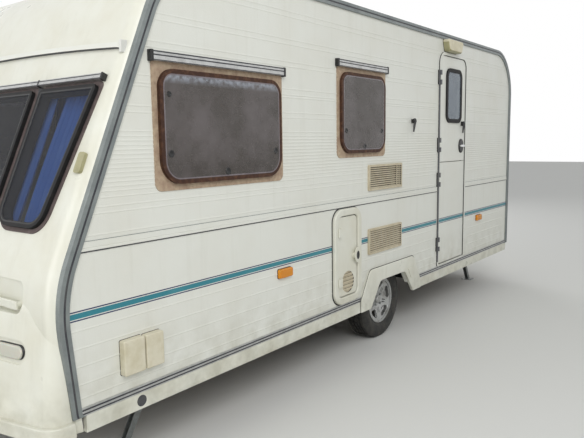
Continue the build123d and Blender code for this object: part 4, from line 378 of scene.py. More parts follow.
def gel_coat(colour):
    """Moulded glass fibre with a chalked gel coat: soft gloss, cloudy, stained at the lower edge."""
    made = Finish("moulded gel coat", colour, 0.36, IOR=1.5, Coat_Weight=0.15, Coat_Roughness=0.25)
    made.stain(0.35, 0.40, 0.72, "CDC8B2", 0.5).stain(0.06, 0.55, 0.85, "B9B6A4", 0.25, scale=PANEL_STREAKS)
    made.grime(0.62, 0.32, 0.09, 0.3, 0.68, "8F8B74")
    return made.wear(0.25, 0.3, 0.7, 0.26, 0.46).grain(0.16, 0.0012).material


def weathered_rail():
    """Mill-finish aluminium extrusion left outdoors: grey oxide bloom, streaked along its length."""
    made = Finish("weathered aluminium extrusion", linear("8F9594"), 0.42, 0.7)
    made.stain(0.12, 0.35, 0.7, "666C6F", 0.45).wear(0.02, 0.3, 0.7, 0.38, 0.62)
    return made.grain(0.006, 0.0003).material


def satin_aluminium():
    """Anodised aluminium strip: brighter than the rails, finely brushed along its length."""
    made = Finish("anodised aluminium strip", linear("C6C7C6"), 0.34, 0.85)
    made.stain(0.05, 0.4, 0.75, "8C8D89", 0.5)
    return made.wear(0.01, 0.3, 0.7, 0.24, 0.46, scale=(0.05, 1.0, 1.0)).material


def insert_vinyl():
    """Flexible vinyl insert pressed into a rail: near black, matt, dusty."""
    return Finish("vinyl rail insert", linear("34353B"), 0.55).stain(0.04, 0.42, 0.75, "5E5D5A", 0.6).material


def pane_rubber(colour, dusty):
    """Moulded rubber round a pane: dark, matt, browned and dusty on top."""
    made = Finish("moulded window rubber", colour, 0.6, Specular_IOR_Level=0.3)
    return made.stain(0.03, 0.45, 0.75, dusty, 0.7).grain(0.003, 0.0002).material


def bleached_flange(colour):
    """Rubber flange on the wall, bleached and stained by the sun to tan."""
    made = Finish("bleached rubber flange", colour, 0.7)
    return made.stain(0.05, 0.38, 0.68, "C0AE93", 0.8).stain(0.02, 0.52, 0.75, "6B5444", 0.45).material


def scratched_acrylic(colour):
    """Smoked acrylic pane, scratched by branches: brown-grey, hazy, lighter and bluish in patches along the
    top of the forward panes.
    """
    made = Finish("scratched smoked acrylic", colour, 0.28, IOR=1.49, Alpha=0.86, Specular_IOR_Level=0.6)
    made.stain(0.20, 0.38, 0.70, "766F70", 0.5)
    made.stain(0.012, 0.60, 0.78, "A59FA0", 0.25, detail=4.0, scale=(0.35, 1.0, 1.3))
    # Lighter, bluish patches along the top of the forward panes
    top_band = made.times(made.ramp("Z", 1.850, 1.880), made.ramp("X", AXLE.x + 0.9, AXLE.x + 1.2))
    made.tint(made.times(top_band, made.patches(0.03, 0.30, 0.6)), linear("AEB4C0"), 0.65)
    return made.wear(0.06, 0.35, 0.7, 0.10, 0.34).material


def front_acrylic():
    """Smoked acrylic of the front panes, clearer and darker than the side ones."""
    made = Finish("clear smoked acrylic", linear("0D111C"), 0.06, IOR=1.49, Alpha=0.28)
    return made.stain(0.3, 0.45, 0.75, "2B3040", 0.4).wear(0.1, 0.35, 0.75, 0.04, 0.16).material


def door_acrylic():
    """Clear acrylic of the door's window: clean and glossy, its pale bluish colour and lighter patches
    painted sky reflection.
    """
    made = Finish("clear door acrylic", linear("8E9AA6"), 0.06, IOR=1.49, Alpha=0.5)
    # Pale bluish colour and lighter patches: painted sky reflection
    return made.stain(0.2, 0.45, 0.75, "B4BDC6", 0.4).wear(0.08, 0.35, 0.75, 0.04, 0.16).material


def chromed_lever():
    """Chromium plate on a lock's lever: bright, finely pitted."""
    made = Finish("chromium plate", linear("D2D3D4"), 0.12, 1.0)
    return made.wear(0.004, 0.4, 0.7, 0.08, 0.25).stain(0.02, 0.55, 0.8, "8F8E8A", 0.4).material


def stripe_vinyl(colour, name, faded):
    """Adhesive vinyl tape: even colour, satin, slightly faded in patches."""
    return Finish(name, colour, 0.32).stain(0.25, 0.45, 0.75, faded, 0.35).material


def moulded_plastic(name, code, worn, roughness=0.45):
    """Injection-moulded ABS, fine textured, yellowed or bleached in patches."""
    made = Finish(name, linear(code), roughness, IOR=1.53)
    return made.stain(0.06, 0.38, 0.72, worn, 0.6).grain(0.002, 0.00015, 1.0).material


def lens_plastic(name, code, deep, along="X"):
    """Ribbed acrylic lamp lens: glossy, light passing into it, ribs every 8 mm."""
    made = Finish(name, linear(code), 0.16, IOR=1.49, Transmission_Weight=0.15, Subsurface_Weight=0.2)
    ribs = made.threads(made.place, 40.0, along)
    return made.tint(ribs, linear(deep), 0.45).bump(ribs, 0.0006).material


def tyre_rubber():
    """Vulcanised tyre rubber: charcoal, matt, dry dust in the sidewall."""
    made = Finish("tyre rubber", linear("242423"), 0.72)
    return made.stain(0.05, 0.40, 0.75, "4E4A42", 0.6).grain(0.003, 0.0003).material


def painted_alloy():
    """Cast alloy wheel, silver lacquered: bright faces, brake dust in the corners."""
    made = Finish("lacquered cast alloy", linear("B4B5B4"), 0.33, 0.7, Coat_Weight=0.3, Coat_Roughness=0.12)
    return made.stain(0.05, 0.45, 0.75, "6F6A60", 0.55).wear(0.03, 0.35, 0.7, 0.26, 0.5).material


def hot_dip_zinc():
    """Hot-dip galvanised steel: grey spangle a centimetre or two across, dull with age."""
    made = Finish("hot-dip galvanised steel", linear("8D9190"), 0.5, 0.65)
    flakes = add(made.tree, "ShaderNodeTexVoronoi", {"Vector": made.place, "Scale": 60.0})
    made.tint(flakes.outputs["Color"], linear("6E7372"), 0.5)
    return made.stain(0.08, 0.5, 0.75, "5B5346", 0.45).wear(0.02, 0.3, 0.7, 0.4, 0.62).material


def chassis_black():
    """Cast and forged steel in worn black enamel, with rust at patches."""
    made = Finish("black enamelled steel", linear("232323"), 0.45, IOR=1.5)
    return made.stain(0.03, 0.55, 0.75, "6B4128", 0.6).grain(0.006, 0.0003).material


def wood_board(name, code, dark):
    """Veneered board: grain lines some 8 mm apart, stretched along the caravan."""
    made = Finish(name, linear(code), 0.45)
    along = {"scale": (0.06, 1.0, 1.0)}
    made.stain(0.012, 0.35, 0.7, dark, 0.7, detail=4.0, **along)
    return made.grain(0.006, 0.0002, 2.0, **along).material


def woven_cloth(colour, name, dark):
    """Woven seat cloth: warp and weft drawn at 12 mm, coarse enough to show, with a soft sheen."""
    made = Finish(name, colour, 0.85, Sheen_Weight=0.35)
    lean = {"Vector": made.place, "Rotation": (math.radians(45.0), 0.0, 0.0)}
    leaned = add(made.tree, "ShaderNodeMapping", lean).outputs["Vector"]
    cross = made.times(made.threads(made.place, 26.0, "X"), made.threads(leaned, 37.0, "Z"))
    return made.tint(cross, linear(dark), 0.4).stain(0.09, 0.4, 0.75, dark, 0.3).bump(cross, 0.0004).material


def curtain_cloth(colour):
    """Plain-woven curtain cotton: threads follow the folds, drawn at 5 mm, paler where it is worn."""
    made = Finish("blue curtain cloth", colour, 0.88, Sheen_Weight=0.4)
    flat = add(made.tree, "ShaderNodeTexCoord").outputs["UV"]
    size = (CURTAIN_CUT_WIDTH, CURTAIN_FRONT_LENGTH, 1.0)
    laid = add(made.tree, "ShaderNodeMapping", {"Vector": flat, "Scale": size}).outputs["Vector"]
    cross = made.times(made.threads(laid, 63.0, "X"), made.threads(laid, 63.0, "Y"))
    made.tint(cross, linear("2A4E96"), 0.35).stain(0.12, 0.45, 0.8, "7FA2DA", 0.35)
    return made.bump(cross, 0.0002).material


# Finishes that take a colour of the panel: their maker, the colour's name and what else the maker needs
COLOURED = {
    "wall": (painted_sheet, "wall"),
    "moulding": (gel_coat, "moulding"),
    "rubber": (pane_rubber, "rubber", "6A4A36"),
    "flange": (bleached_flange, "flange"),
    "acrylic": (scratched_acrylic, "glass"),
    "curtain": (curtain_cloth, "curtain"),
    "band": (stripe_vinyl, "band", "vinyl band tape", "5FA0A6"),
    "pinstripe": (stripe_vinyl, "pinstripe", "vinyl pinstripe tape", "4A4F70"),
    "cushion": (woven_cloth, "cushion", "woven seat cover", "39435A"),
}

# Finishes with colours of their own: their maker and what it needs
FIXED = {
    "rail": (weathered_rail,),
    "trim": (satin_aluminium,),
    "insert": (insert_vinyl,),
    "front_flange": (pane_rubber, linear("554A48"), "6E6260"),
    "front_rubber": (pane_rubber, linear("0E0F11"), "24211F"),
    "front_acrylic": (front_acrylic,),
    "door_acrylic": (door_acrylic,),
    "hinge": (moulded_plastic, "grey hinge casting", "55565A", "7A7A78", 0.5),
    "chrome": (chromed_lever,),
    "pane_border": (moulded_plastic, "bonded pane border", "6A6266", "8B8488", 0.3),
    "vent": (moulded_plastic, "bleached vent plastic", "C9BEA4", "A89A7C"),
    # Near black between and behind vent louvres: painted shade
    "dark_gap": (moulded_plastic, "dark vent backing", "181512", "2E2A25", 0.7),
    "ivory": (moulded_plastic, "yellowed ivory plastic", "D6D0BA", "BFB594"),
    "cream": (moulded_plastic, "cream moulded plastic", "D9D2B8", "BDB28C"),
    "black": (moulded_plastic, "black moulded plastic", "121214", "2A2A29", 0.4),
    "white": (moulded_plastic, "white reflective plate", "E4E4DF", "C9C9C0", 0.3),
    "dull_lens": (moulded_plastic, "faded marker lens", "A7A27C", "8A865F", 0.3),
    "liner": (moulded_plastic, "locker liner plastic", "B9B9B2", "96958B"),
    "amber": (lens_plastic, "amber lens", "F09A1C", "C9780F"),
    "clear": (lens_plastic, "clear lens", "D8D6C8", "BDBBAE", "Y"),
    "red": (lens_plastic, "red lens", "A81818", "6E0C0C", "Y"),
    "tyre": (tyre_rubber,),
    "alloy": (painted_alloy,),
    "zinc": (hot_dip_zinc,),
    "black_steel": (chassis_black,),
    "ply": (wood_board, "floor plywood", "6B563B", "4A3A26"),
    "board": (wood_board, "oak foil board", "A9814F", "7C5A32"),
    "piping": (woven_cloth, linear("3C4A66"), "corded seat piping", "2A3348"),
}
FINISHES = {}


def make_finish(name):
    """Make the material of a finish from its short name and the panel's colours."""
    if name in FIXED:
        maker, *values = FIXED[name]
        return maker(*values)
    maker, colour, *values = COLOURED[name]
    return maker(tuple(getattr(bpy.context.scene.caravan_colours, colour)), *values)


def finish_named(name):
    """The material of a finish, made once."""
    if name not in FINISHES:
        FINISHES[name] = make_finish(name)
    return FINISHES[name]


def dress(finish, *nodes):
    """Give a finish to CAD nodes that stay as they are."""
    for node in nodes:
        materials = frame["nodes"][node].data.materials
        if materials:
            materials[0] = finish_named(finish)
        else:
            materials.append(finish_named(finish))


def mark_smooth(mesh_data, angle):
    """Shade faces smooth and keep edges sharper than an angle in degrees sharp."""
    for face in mesh_data.faces:
        face.smooth = True
    for edge in mesh_data.edges:
        if len(edge.link_faces) == 2 and edge.calc_face_angle(0.0) > math.radians(angle):
            edge.smooth = False


def link_object(name, data):
    """A new object in the scene."""
    made = bpy.data.objects.new(name, data)
    bpy.context.scene.collection.objects.link(made)
    return made


def mesh_from(name, mesh_data):
    """A mesh written from a bmesh, which is freed."""
    mesh = bpy.data.meshes.new(name)
    mesh_data.to_mesh(mesh)
    mesh_data.free()
    return mesh


def evaluated_mesh(holder):
    """The mesh that an object has with its modifiers or bevel."""
    return bpy.data.meshes.new_from_object(holder.evaluated_get(bpy.context.evaluated_depsgraph_get()))


def place_piece(mesh_data, name, finish, body=ROOT, slot="black_plastic", stands_for=(), smooth=None):
    """Write a bmesh to a new piece that rides on a body."""
    if smooth is not None:
        mark_smooth(mesh_data, smooth)
    piece = link_object(name, mesh_from(name, mesh_data))
    for one in ([finish] if isinstance(finish, str) else finish):
        piece.data.materials.append(finish_named(one))
    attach(piece, body)
    if stands_for:
        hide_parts(*stands_for)
    return piece


def merged_copy(node):
    """A bmesh of a CAD node with its loose triangles joined."""
    copied = bmesh.new()
    copied.from_mesh(frame["nodes"][node].data)
    bmesh.ops.remove_doubles(copied, verts=copied.verts, dist=1e-5)
    return copied


def body_of_node(node):
    """Name of the body that a CAD node rides on."""
    for body, nodes in frame["record"]["behaviour"]["bodies"].items():
        if node in nodes:
            return body
    raise RuntimeError(f"no body holds {node}")


def slot_of_node(node):
    """Material slot of a CAD node."""
    for row in frame["record"]["subparts"]:
        if row["node"] == node:
            return row["material_slot"]
    raise RuntimeError(f"no slot for {node}")


def place_own(copied, node, finish, angle=32.0):
    """Put a dressed copy in the place of its CAD node."""
    place_piece(copied, node + "_finish", finish, body_of_node(node), slot_of_node(node), (node,), angle)


def shade(finish, *nodes, angle=32.0):
    """Replace CAD nodes by their own shapes with joined, smoothly shaded faces."""
    for node in nodes:
        place_own(merged_copy(node), node, finish, angle)


def add_box(mesh_data, matrix, size, edge, segments):
    """Add a box of a size where a matrix puts it, its edges rounded."""
    matrix = matrix @ Matrix.Diagonal((*size, 1.0))
    made = bmesh.ops.create_cube(mesh_data, size=1.0, matrix=matrix)["verts"]
    if edge > 0:
        edges = list({one for vert in made for one in vert.link_edges})
        bmesh.ops.bevel(
            mesh_data, geom=edges, offset=edge, segments=segments, profile=0.5, affect="EDGES", material=-1
        )


def add_block(mesh_data, low, high, edge=0.0, segments=2):
    """Add a box between two corners, its edges rounded."""
    size = [high[axis] - low[axis] for axis in range(3)]
    centre = [(high[axis] + low[axis]) / 2 for axis in range(3)]
    add_box(mesh_data, Matrix.Translation(centre), size, edge, segments)


def add_rod(mesh_data, start, end, radius, steps=24, tip=None):
    """Add a capped round bar between two points."""
    start = Vector(start)
    line = Vector(end) - start
    matrix = Matrix.Translation(start + line / 2) @ line.to_track_quat("Z", "Y").to_matrix().to_4x4()
    bmesh.ops.create_cone(
        mesh_data, cap_ends=True, segments=steps, radius1=radius, radius2=radius if tip is None else tip,
        depth=line.length, matrix=matrix,
    )


def add_lathe(mesh_data, profile, centre, axis, steps=64):
    """Spin a profile of (along the axis, radius) pairs once round an axis."""
    axis = Vector(axis).normalized()
    out = axis.orthogonal().normalized()
    verts = [mesh_data.verts.new(Vector(centre) + axis * along + out * radius) for along, radius in profile]
    edges = [mesh_data.edges.new(pair) for pair in zip(verts, verts[1:])]
    bmesh.ops.spin(
        mesh_data, geom=verts + edges, cent=Vector(centre), axis=axis, angle=2 * math.pi, steps=steps,
        use_merge=True, use_duplicate=False,
    )
    bmesh.ops.remove_doubles(mesh_data, verts=mesh_data.verts, dist=1e-6)
    bmesh.ops.recalc_face_normals(mesh_data, faces=mesh_data.faces)


def add_side_block(mesh_data, sign, along, out, rise, edge=0.0):
    """Add a box at one side: its ranges along x, out from the middle plane, and in height."""
    low_y, high_y = sorted((sign * out[0], sign * out[1]))
    add_block(mesh_data, (along[0], low_y, rise[0]), (along[1], high_y, rise[1]), edge)


def cut_across(mesh_data, axis, place):
    """Cut a bmesh along a plane square to an axis, and give the vertices and edges on the cut."""
    return bmesh.ops.bisect_plane(
        mesh_data, geom=mesh_data.verts[:] + mesh_data.edges[:] + mesh_data.faces[:], dist=1e-6,
        plane_co=axis * place, plane_no=axis,
    )["geom_cut"]


def faces_where(node, keep):
    """The faces of a CAD node whose corners all pass a test, as a new bmesh."""
    copied = merged_copy(node)
    spare = [face for face in copied.faces if not all(keep(vert.co) for vert in face.verts)]
    bmesh.ops.delete(copied, geom=spare, context="FACES")
    return copied


def rib_heights(sizes):
    """Heights of the embossed lines: plain lines high up, a band of fine ribs, plain lines below."""
    lines = list(UPPER_LINES)
    height, foot = FINE_BAND
    while height > foot:
        lines.append(height)
        height -= sizes.fine_pitch
    return lines + list(LOWER_LINES)


class CARAVAN_OT_walls(bpy.types.Operator):
    """Emboss the side walls with their pressed lines"""
    bl_idname = "caravan.walls"
    bl_label = "Side walls"

    def execute(self, context):
        sizes = context.scene.caravan_sizes
        for side, sign in SIDES:
            node = "side_wall_" + side
            wall = merged_copy(node)
            for height in rib_heights(sizes):
                for cut in (height - sizes.rib_half, height, height + sizes.rib_half):
                    cut_across(wall, UP, cut)
                for vert in wall.verts:
                    if abs(vert.co.z - height) < 1e-5 and abs(vert.co.y - sign * WALL_Y) < 1e-4:
                        vert.co.y += sign * sizes.rib_height
            place_piece(wall, node + "_pressed", "wall", ROOT, "wall_panel", (node,))
            seam = bmesh.new()
            for low, high, proud in SEAM_STEPS:
                for run in seam_runs(side):
                    add_side_block(seam, sign, run, (WALL_Y, WALL_Y + proud), (low, high), 0.0018)
            place_piece(seam, "seam_strip_" + side, "wall", ROOT, "wall_panel")
            # A dark line under the seam strip and a grey line along its top: painted shadow
            for name, finish, rise in SEAM_LINES:
                line = bmesh.new()
                for run in seam_runs(side):
                    add_side_block(line, sign, run, (WALL_Y, WALL_Y + SEAM_LINE_PROUD), rise)
                place_piece(line, name + side, finish)
        return {"FINISHED"}


def seam_runs(side):
    """Rear and front ends of the wall's seam, broken by the door."""
    front = WALL_HIGH.x - SEAM_FRONT_GAP
    if side == "right":
        return [(WALL_LOW.x, front)]
    door_low, door_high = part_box("door_frame")
    return [(door_high.x - SEAM_DOOR_LAP, front), (WALL_LOW.x, door_low.x)]


def stripe_runs(side):
    """Rear end, front end and body of each length of the side stripe."""
    front = WALL_HIGH.x - STRIPE_FRONT_GAP
    if side == "right":
        return [(WALL_LOW.x, front, ROOT)]
    hatch_low, hatch_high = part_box("gas_hatch_frame")
    vent_low, vent_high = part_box("appliance_vents")
    door_low, door_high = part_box("door_frame")
    return [
        (hatch_high.x, front, ROOT),
        (vent_high.x, hatch_low.x, ROOT),
        (door_high.x - STRIPE_DOOR_LAP, vent_low.x, ROOT),
        (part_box("door_lower")[0].x, door_high.x - LEAF_INSET, "door_lower"),
        (WALL_LOW.x, door_low.x, ROOT),
    ]


class CARAVAN_OT_stripes(bpy.types.Operator):
    """Lay the tape stripe along both sides"""
    bl_idname = "caravan.stripes"
    bl_label = "Stripes"

    def execute(self, context):
        foot = context.scene.caravan_sizes.band_foot
        width = context.scene.caravan_sizes.band_width
        out = (WALL_Y - 0.0002, WALL_Y + 0.0006)
        for side, sign in SIDES:
            for number, (rear, front, body) in enumerate(stripe_runs(side)):
                for tape in ("band", "pinstripe"):
                    strip = bmesh.new()
                    for kind, low, high in STRIPE_LINES:
                        if kind == tape:
                            rise = (foot + low * width, foot + high * width)
                            add_side_block(strip, sign, (rear, front), out, rise)
                    place_piece(strip, f"{tape}_{side}_{number}", tape, body, "wall_panel")
        return {"FINISHED"}


def in_reveal(spot, face):
    """Whether a face of the front panel lies in the depth of a window opening."""
    depth = (spot - SLOPE_FOOT).dot(SLOPE_OUT)
    in_window = REVEAL_Z[0] < spot.z < REVEAL_Z[1] and abs(spot.y) < REVEAL_Y
    in_depth = REVEAL_DEPTH[0] < depth < REVEAL_DEPTH[1]
    return in_window and in_depth and abs(face.normal.dot(SLOPE_OUT)) < 0.3


class CARAVAN_OT_panels(bpy.types.Operator):
    """Finish the moulded front, roof, rear and skirts"""
    bl_idname = "caravan.panels"
    bl_label = "Moulded panels"

    def execute(self, context):
        shade_parts("front_panel", ("moulding", "front_rubber"), in_reveal)
        shade("moulding", "rear_panel", "roof_panel", "skirts")
        return {"FINISHED"}


def gutter_clips():
    """White clips on both ends of the front gutter rail."""
    gutter = [vert.co for vert in frame["nodes"]["front_gutter"].data.vertices]
    reach = max(point.y for point in gutter) - 0.012
    low, high = corners_of([point for point in gutter if point.y > reach])
    clips = bmesh.new()
    for sign in (-1, 1):
        add_side_block(
            clips, sign, (low.x - 0.004, high.x + 0.003), (low.y - 0.002, high.y + 0.002),
            (low.z - 0.010, high.z + 0.012), 0.002,
        )
    place_piece(clips, "gutter_clips", "white")


def spat_gasket(side, sign):
    """Dark edge round a wheel spat: the spat's own face, a little larger, set behind it."""
    level = WALL_Y + SPAT_PROUD
    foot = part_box("skirts")[0].z
    spat = faces_where(
        "skirts", lambda spot: abs(spot.y * sign - level) <= 2e-4 and abs(spot.x - AXLE.x) <= SPAT_REACH
    )
    scale_about(spat.verts, (AXLE.x, 0.0, foot), SPAT_GASKET_GROWTH)
    for vert in spat.verts:
        vert.co.y = sign * (WALL_Y + SPAT_GASKET_PROUD)
    place_piece(spat, "spat_gasket_" + side, "black")


class CARAVAN_OT_rails(bpy.types.Operator):
    """Fit the inserts of the awning rails and sill trims, and the edging of the wheel spats"""
    bl_idname = "caravan.rails"
    bl_label = "Rails and trims"

    def execute(self, context):
        shade("rail", "awning_rails", angle=40.0)
        # The gutter's downward faces get the dark vinyl: painted shade under the gutter
        shade_parts("front_gutter", ("wall", "insert"), lambda spot, face: face.normal.z < -0.5, 40.0)
        gutter_clips()
        dress("trim", "sill_trims")
        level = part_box("awning_rails")[1].y - 0.006
        insert = faces_where("awning_rails", lambda spot: abs(abs(spot.y) - level) <= 2e-4)
        for vert in bmesh.ops.extrude_face_region(insert, geom=insert.faces[:])["geom"]:
            if isinstance(vert, bmesh.types.BMVert):
                vert.co.y += math.copysign(0.0045, vert.co.y)
        bmesh.ops.recalc_face_normals(insert, faces=insert.faces)
        place_piece(insert, "rail_inserts", "insert")
        trim_low, trim_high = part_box("sill_trims")
        out = (trim_high.y - 0.001, trim_high.y + 0.001)
        lines = bmesh.new()
        for side, sign in SIDES:
            for rise in SILL_INSERTS:
                add_side_block(lines, sign, (trim_low.x, AXLE.x - SPAT_HALF), out, rise)
                add_side_block(lines, sign, (AXLE.x + SPAT_HALF, trim_high.x - 0.004), out, rise)
        place_piece(lines, "sill_inserts", "insert")
        for side, sign in SIDES:
            spat_gasket(side, sign)
        return {"FINISHED"}


def side_rail(caps, lines, low, high):
    """Add the end caps and dark lines of a side window's top rail."""
    sign = math.copysign(1.0, low.y)
    face_y = max(abs(low.y), abs(high.y))
    half = RAIL_CAP_HALF
    for end in (low.x, high.x):
        cap_high = (end + half, high.y + 0.002, high.z + 0.003)
        add_block(caps, (end - half, low.y - 0.001, low.z - 0.004), cap_high, 0.003)
    for foot, height in RAIL_LINES:
        rise = (low.z + foot, low.z + foot + height)
        add_side_block(lines, sign, (low.x + half, high.x - half), (face_y - 0.0004, face_y + 0.0006), rise)


def rear_rail(lines, low, high):
    """Add the dark lines of the rear window's top rail."""
    half = RAIL_CAP_HALF
    for foot, height in RAIL_LINES:
        top = low.z + foot + height
        add_block(lines, (low.x - 0.0006, low.y + half, low.z + foot), (low.x + 0.0004, high.y - half, top))


def front_rail(caps, lines, low, high):
    """Add the caps and dark lines of the front windows' rail, and the dark strips on its posts."""
    rail_foot = up_slope(FRONT_RAIL_Z)
    half, drop, proud = POST_STRIP
    for sign in (-1, 1):
        strip = sorted((sign * (POST_Y - half), sign * (POST_Y + half)))
        add_slope_block(lines, strip, (rail_foot - drop, rail_foot), (0.0, proud))
    for spot in (POST_Y, high.y - 0.004):
        for sign in (-1, 1):
            along = (sign * spot - 0.006, sign * spot + 0.006)
            add_slope_block(caps, along, (rail_foot - 0.003, rail_foot + 0.031), (0.0, 0.0295), 0.002)
    for foot, height in FRONT_RAIL_LINES:
        rise = (rail_foot + foot, rail_foot + foot + height)
        add_slope_block(lines, (low.y + 0.01, high.y - 0.01), rise, (0.0, 0.0285))


class CARAVAN_OT_windows(bpy.types.Operator):
    """Glaze the windows and fit their catches and rail ends"""
    bl_idname = "caravan.windows"
    bl_label = "Windows"

    def execute(self, context):
        shade_parts("window_rims", ("flange", "rubber", "front_flange", "front_rubber"), rim_part, 40.0)
        shade("front_rubber", "door_window_rim", angle=40.0)
        dress("trim", "window_rails")
        dress("door_acrylic", "door_window_pane")
        glazed_panes()
        caps = bmesh.new()
        lines = bmesh.new()
        for low, high in islands("window_rails"):
            if high.y - low.y < 0.1:
                side_rail(caps, lines, low, high)
            elif low.x < 0:
                rear_rail(lines, low, high)
            else:
                front_rail(caps, lines, low, high)
        place_piece(caps, "window_rail_caps", "black")
        place_piece(lines, "window_rail_lines", "insert")
        catches = bmesh.new()
        for side, sign in SIDES:
            for ahead, z, radius in WINDOW_CATCHES:
                spot = Vector((AXLE.x + ahead, sign * (WALL_Y + WINDOW_CATCH_PROUD), z))
                profile = [(along, radius * share) for along, share in CATCH_PROFILE]
                add_lathe(catches, profile, spot, (0, sign, 0), 28)
        place_piece(catches, "window_catches", "black", smooth=40.0)
        return {"FINISHED"}


def rim_part(spot, face):
    """Tan flange and brown edging at the sides and rear, dark flange and black edging in front."""
    edging = int(stand_out(spot) > RIM_EDGING)
    return edging + 2 if pane_facing(spot).x > 0.5 else edging


def pane_facing(spot):
    """Outward direction of the wall, rear or sloping front that a pane is set in."""
    if abs(spot.y) > WALL_Y - SIDE_DEPTH:
        return Vector((0.0, math.copysign(1.0, spot.y), 0.0))
    return Vector((-1.0, 0.0, 0.0)) if spot.x < AXLE.x else SLOPE_OUT.copy()


def glazed_panes():
    """Set each pane over the inner edge of its rubber, with its bonded border in front."""
    panes = merged_copy("window_panes")
    for group in island_verts(panes):
        low, high = box_of(group)
        centre = (low + high) / 2
        out = pane_facing(centre)
        across = Vector((0.0, 0.0, 1.0)).cross(out).normalized()
        for axis in (across, out.cross(across)):
            half = max(abs((vert.co - centre).dot(axis)) for vert in group)
            for vert in group:
                vert.co += axis * ((vert.co - centre).dot(axis) * PANE_LAP / half)
        for vert in group:
            vert.co += out * PANE_LIFT
    bmesh.ops.dissolve_limit(panes, angle_limit=math.radians(1.0), verts=panes.verts[:], edges=panes.edges[:])
    fronts = [
        face for face in panes.faces
        if face.calc_area() > 0.05 and face.normal.dot(pane_facing(face.calc_center_median())) > 0.99
    ]
    for face in panes.faces:
        face.material_index = 2 if pane_facing(face.calc_center_median()).x > 0.5 else 0
    border = bmesh.ops.inset_region(panes, faces=fronts, thickness=PANE_BORDER, use_even_offset=True)["faces"]
    for face in border:
        face.material_index = 3 if pane_facing(face.calc_center_median()).x > 0.5 else 1
    finishes = ("acrylic", "pane_border", "front_acrylic", "black")
    place_own(panes, "window_panes", finishes, 40.0)


def island_verts(copied):
    """The vertices of each separate solid of a bmesh, from rear to front."""
    left = set(copied.verts)
    found = []
    while left:
        group = {left.pop()}
        edge_of = list(group)
        while edge_of:
            vert = edge_of.pop()
            for edge in vert.link_edges:
                other = edge.other_vert(vert)
                if other in left:
                    left.discard(other)
                    group.add(other)
                    edge_of.append(other)
        found.append(group)
    return sorted(found, key=lambda group: [round(place, 3) for place in box_of(group)[0]])


def corners_of(points):
    """Lowest and highest corner of some points."""
    low = Vector([min(point[axis] for point in points) for axis in range(3)])
    high = Vector([max(point[axis] for point in points) for axis in range(3)])
    return low, high


def box_of(verts):
    """Lowest and highest corner of some vertices."""
    return corners_of([vert.co for vert in verts])


def scale_about(verts, centre, factors):
    """Scale vertices about a point by factors, each given with its axis."""
    for vert in verts:
        for axis, factor in factors:
            vert.co[axis] = centre[axis] + (vert.co[axis] - centre[axis]) * factor


def islands(node):
    """Lowest and highest corner of each separate solid in a CAD node."""
    copied = merged_copy(node)
    found = [box_of(group) for group in island_verts(copied)]
    copied.free()
    return found


def stand_out(point):
    """How far a point stands out of the nearest side, rear or sloping front face."""
    on_side = abs(point.y) - WALL_Y
    on_rear = REAR_X - point.x
    on_front = (point - SLOPE_FOOT).dot(SLOPE_OUT)
    return max(on_side, on_rear, on_front)


def shade_parts(node, finishes, choose, angle=32.0, cuts=()):
    """Replace a CAD node by its own shape, each face in the finish that a rule picks for its middle."""
    copied = merged_copy(node)
    for place in cuts:
        cut_across(copied, ACROSS, place)
    for face in copied.faces:
        face.material_index = int(choose(face.calc_center_median(), face))
    place_own(copied, node, finishes, angle)


def kept_islands(copied, keep):
    """The vertices and corners of each solid of a bmesh that a rule keeps; the others are deleted."""
    for group in island_verts(copied):
        low, high = box_of(group)
        if keep(low, high):
            yield group, low, high
        else:
            bmesh.ops.delete(copied, geom=list(group), context="VERTS")


def halo_of(node, grow, proud, name, keep=lambda low, high: True):
    """A sealant ring round each fitting on the door side, shaped from the fitting's own outline."""
    copied = merged_copy(node)
    for group, low, high in kept_islands(copied, keep):
        wide = 1 + 2 * grow / (high.x - low.x)
        tall = 1 + 2 * grow / (high.z - low.z)
        scale_about(group, (low + high) / 2, ((0, wide), (2, tall)))
        for vert in group:
            outer = abs(vert.co.y - high.y) < abs(vert.co.y - low.y)
            vert.co.y = WALL_Y + proud if outer else WALL_Y - 0.0005
    place_piece(copied, name, "black", body_of_node(node))


def add_slope_block(mesh_data, y_pair, up_pair, out_pair, edge=0.0):
    """Add a box that lies on the sloping front, between heights in metres above its foot line."""
    middle = SLOPE_FOOT + SLOPE_UP * (sum(up_pair) / 2) + SLOPE_OUT * (sum(out_pair) / 2)
    middle.y = sum(y_pair) / 2
    basis = Matrix((SLOPE_OUT, ACROSS, SLOPE_UP)).transposed().to_4x4()
    size = (out_pair[1] - out_pair[0], y_pair[1] - y_pair[0], up_pair[1] - up_pair[0])
    add_box(mesh_data, Matrix.Translation(middle) @ basis, size, edge, 2)


def up_slope(z):
    """Distance up the sloping front of a height above ground."""
    return (z - SLOPE_FOOT.z) / SLOPE_UP.z


def frame_part(spot, face):
    """Painted frame, black seal against the leaves with black edge faces beside it as painted shade in the
    gap, or grey hinge plate.
    """
    on_edge = face.normal.x ** 2 + face.normal.z ** 2 > 0.5
    # The seal is black rubber deepened as painted shade; the opening's edge faces are black as painted shade
    # in the gap
    if spot.y < WALL_Y + FRAME_SEAL_AND_SHADE or on_edge and spot.y < WALL_Y + FRAME_SHADE_EDGE:
        return 1
    return 2 if spot.y > WALL_Y + FRAME_HINGE else 0


def lock_part(spot, face):
    """Black plates of the door's lock and retainer, or the lock's chromed lever."""
    return spot.y > WALL_Y + LEVER_PROUD and spot.z < LOCK_TOP


